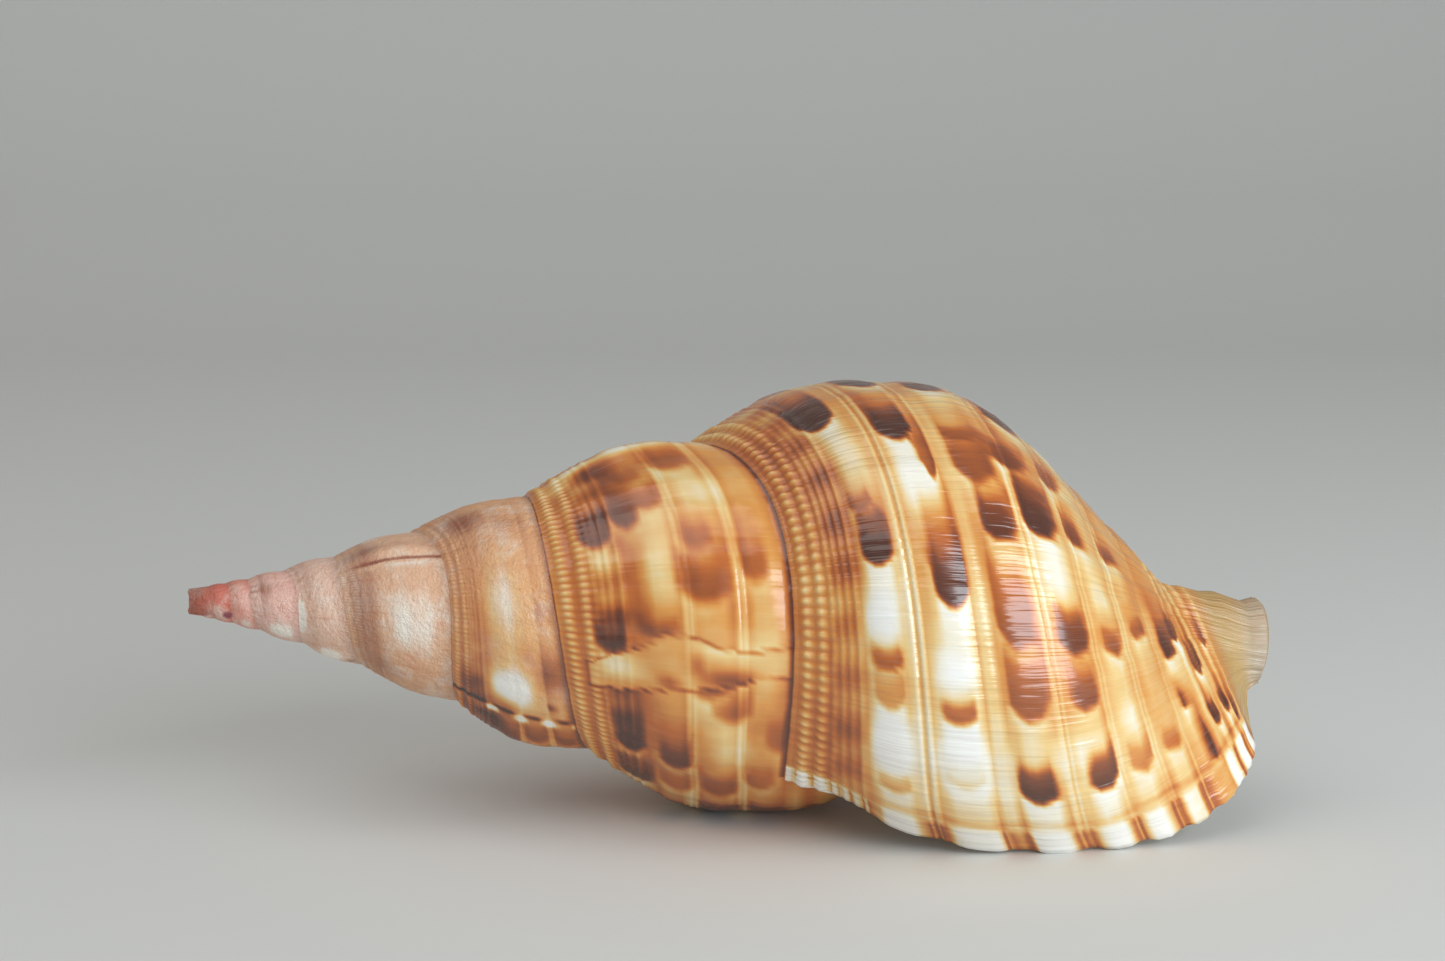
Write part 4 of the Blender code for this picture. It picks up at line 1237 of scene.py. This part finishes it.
# The inside: the glossy ramp entered at the pale end, deepening to peach up the coil.
inside_value = wires.plus(wires.plus(shift, wires.swing(clouds, 0.12)), INSIDE_TONE, clamp=True)
inside_dark = wires.times(depth_of_mark, wires.math("SUBTRACT", INSIDE_DARKEST, inside_value))
porcelain = wires.ramp(wires.plus(inside_value, inside_dark, clamp=True), GLOSSY)
peach = wires.span(turn, -0.08, -0.7)
porcelain = wires.mix(wires.times(peach, 0.6), porcelain, linear(232, 176, 132))
colour = wires.mix(wires.span(side, 0.45, 0.55), skin_colour, porcelain)
wires.plug(surface.inputs["Base Color"], colour)
print("colour nodes", len(finish.node_tree.nodes))

# %% [markdown]
# ## Gloss and growth lines
#
# Fresh shell is glossy and old shell is dull, and light sinks a little way into both. Growth lines
# are finer than the mesh could carry and change no outline, so unlike the ridges they are a bump,
# made by noise that is stretched along each line. The worn spire has small pits instead.

# %% Gloss and growth lines
worn = wires.math("SUBTRACT", 1.0, young)
roughness = wires.math("MULTIPLY_ADD", worn, 0.34, wires.math("MULTIPLY_ADD", clouds, 0.10, 0.13))
wires.plug(surface.inputs["Roughness"], roughness)
surface.inputs["IOR"].default_value = 1.58
surface.inputs["Specular IOR Level"].default_value = 0.9
surface.inputs["Subsurface Weight"].default_value = 0.06
surface.inputs["Subsurface Radius"].default_value = (0.006, 0.003, 0.0015)
surface.inputs["Subsurface Scale"].default_value = 0.5

across_lines = wires.vector(wires.times(turn, 260.0), wires.times(share, 5.0), 0.0)
fine_lines = wires.noise(across_lines, 1.0, 2.0)
pits = wires.times(wires.noise(place, 700.0, 3.0, 0.7), worn)
ridged = wires.math("MULTIPLY_ADD", wires.span(turn, -0.7, -0.3), 0.85, 0.15)
height = wires.plus(wires.times(fine_lines, ridged), wires.times(pits, 1.6))
bump = wires.node("ShaderNodeBump")
bump.inputs["Strength"].default_value = 0.55
bump.inputs["Distance"].default_value = 0.0009
wires.plug(bump.inputs["Height"], height)
wires.plug(surface.inputs["Normal"], bump.outputs[0])
shell_mesh.materials.append(finish)

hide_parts("shell")
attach(shell, "root")
print("finish nodes", len(finish.node_tree.nodes))

# %% [markdown]
# ## Floor, light and camera
#
# A plain pale floor sweeps up behind, so that no edge cuts the picture. Small lamps would show as
# hard spots on so glossy a shell, so the light comes from two large soft panels, one at the side
# like a window and a weaker one overhead. The camera stands at the photo's angle with a long lens.

# %% Floor
# Depth and height of the floor's profile, which is carried from one side to the other, in metres.
sweep = np.array([(-3.0, 0.0), (0.9, 0.0), (1.2, 0.05), (1.4, 0.2), (1.5, 0.45), (1.52, 3.0)])
FLOOR_SIDES = (-3.0, 3.0)
floor_points = np.concatenate([np.insert(sweep, 0, x, axis=1) for x in FLOOR_SIDES])
n = len(sweep)
floor_faces = [(i, i + n, i + n + 1, i + 1) for i in range(n - 1)]
floor_mesh = bpy.data.meshes.new("floor")
floor_mesh.from_pydata(floor_points.tolist(), [], floor_faces)
floor_mesh.shade_smooth()
floor = bpy.data.objects.new("floor", floor_mesh)
bpy.context.scene.collection.objects.link(floor)
paper = bpy.data.materials.new("pale_paper")
paper.use_nodes = True
paper_surface = paper.node_tree.nodes["Principled BSDF"]
paper_surface.inputs["Base Color"].default_value = linear(222, 222, 218)
paper_surface.inputs["Roughness"].default_value = 0.8
floor_mesh.materials.append(paper)
print("floor faces", len(floor_faces))

# %% Light
def soft_light(name, at, toward, size, power, tint):
    """A rectangular area light at a place, its -Z turned to the point it lights."""
    data = bpy.data.lights.new(name, "AREA")
    data.shape = "RECTANGLE"
    data.size, data.size_y = size
    data.energy = power
    data.color = tint
    made = bpy.data.objects.new(name, data)
    made.location = at
    direction = np.array(toward) - np.array(at)
    made.rotation_euler = Vector(direction).to_track_quat("-Z", "Y").to_euler()
    bpy.context.scene.collection.objects.link(made)


soft_light("window", at=(0.70, -0.80, 0.40), toward=(0.06, 0.0, 0.05), size=(1.1, 0.75),
           power=10.8, tint=(0.86, 0.94, 1.0))
soft_light("overhead", at=(-0.50, -0.35, 1.2), toward=(-0.03, 0.0, 0.05), size=(1.3, 1.3),
           power=4.4, tint=(1.0, 0.98, 0.94))
world = bpy.data.worlds.new("studio")
world.use_nodes = True
room = world.node_tree.nodes["Background"]
room.inputs["Color"].default_value = linear(220, 221, 222)
room.inputs["Strength"].default_value = 0.44
bpy.context.scene.world = world
print("lights", len(bpy.data.lights))

# %% Camera
CAMERA_AT = (-0.0997, -0.6987, 0.1975)    # metres
LOOK_AT = (0.0, 0.0039, 0.0481)
CAMERA_ROLL = math.radians(0.67)
camera_data = bpy.data.cameras.new("camera")
camera_data.lens = 50.0
camera_data.sensor_width = 23.5
camera_data.shift_x = -0.0085
camera_data.shift_y = 0.0933
camera = bpy.data.objects.new("camera", camera_data)
camera.location = CAMERA_AT
aim = (Vector(LOOK_AT) - Vector(CAMERA_AT)).to_track_quat("-Z", "Y")
camera.rotation_mode = "QUATERNION"
camera.rotation_quaternion = aim @ Quaternion((0.0, 0.0, 1.0), CAMERA_ROLL)
bpy.context.scene.collection.objects.link(camera)
bpy.context.scene.camera = camera
bpy.context.scene.view_settings.view_transform = "Standard"
print("camera to shell, m:", round((Vector(LOOK_AT) - Vector(CAMERA_AT)).length, 3))

# %% [markdown]
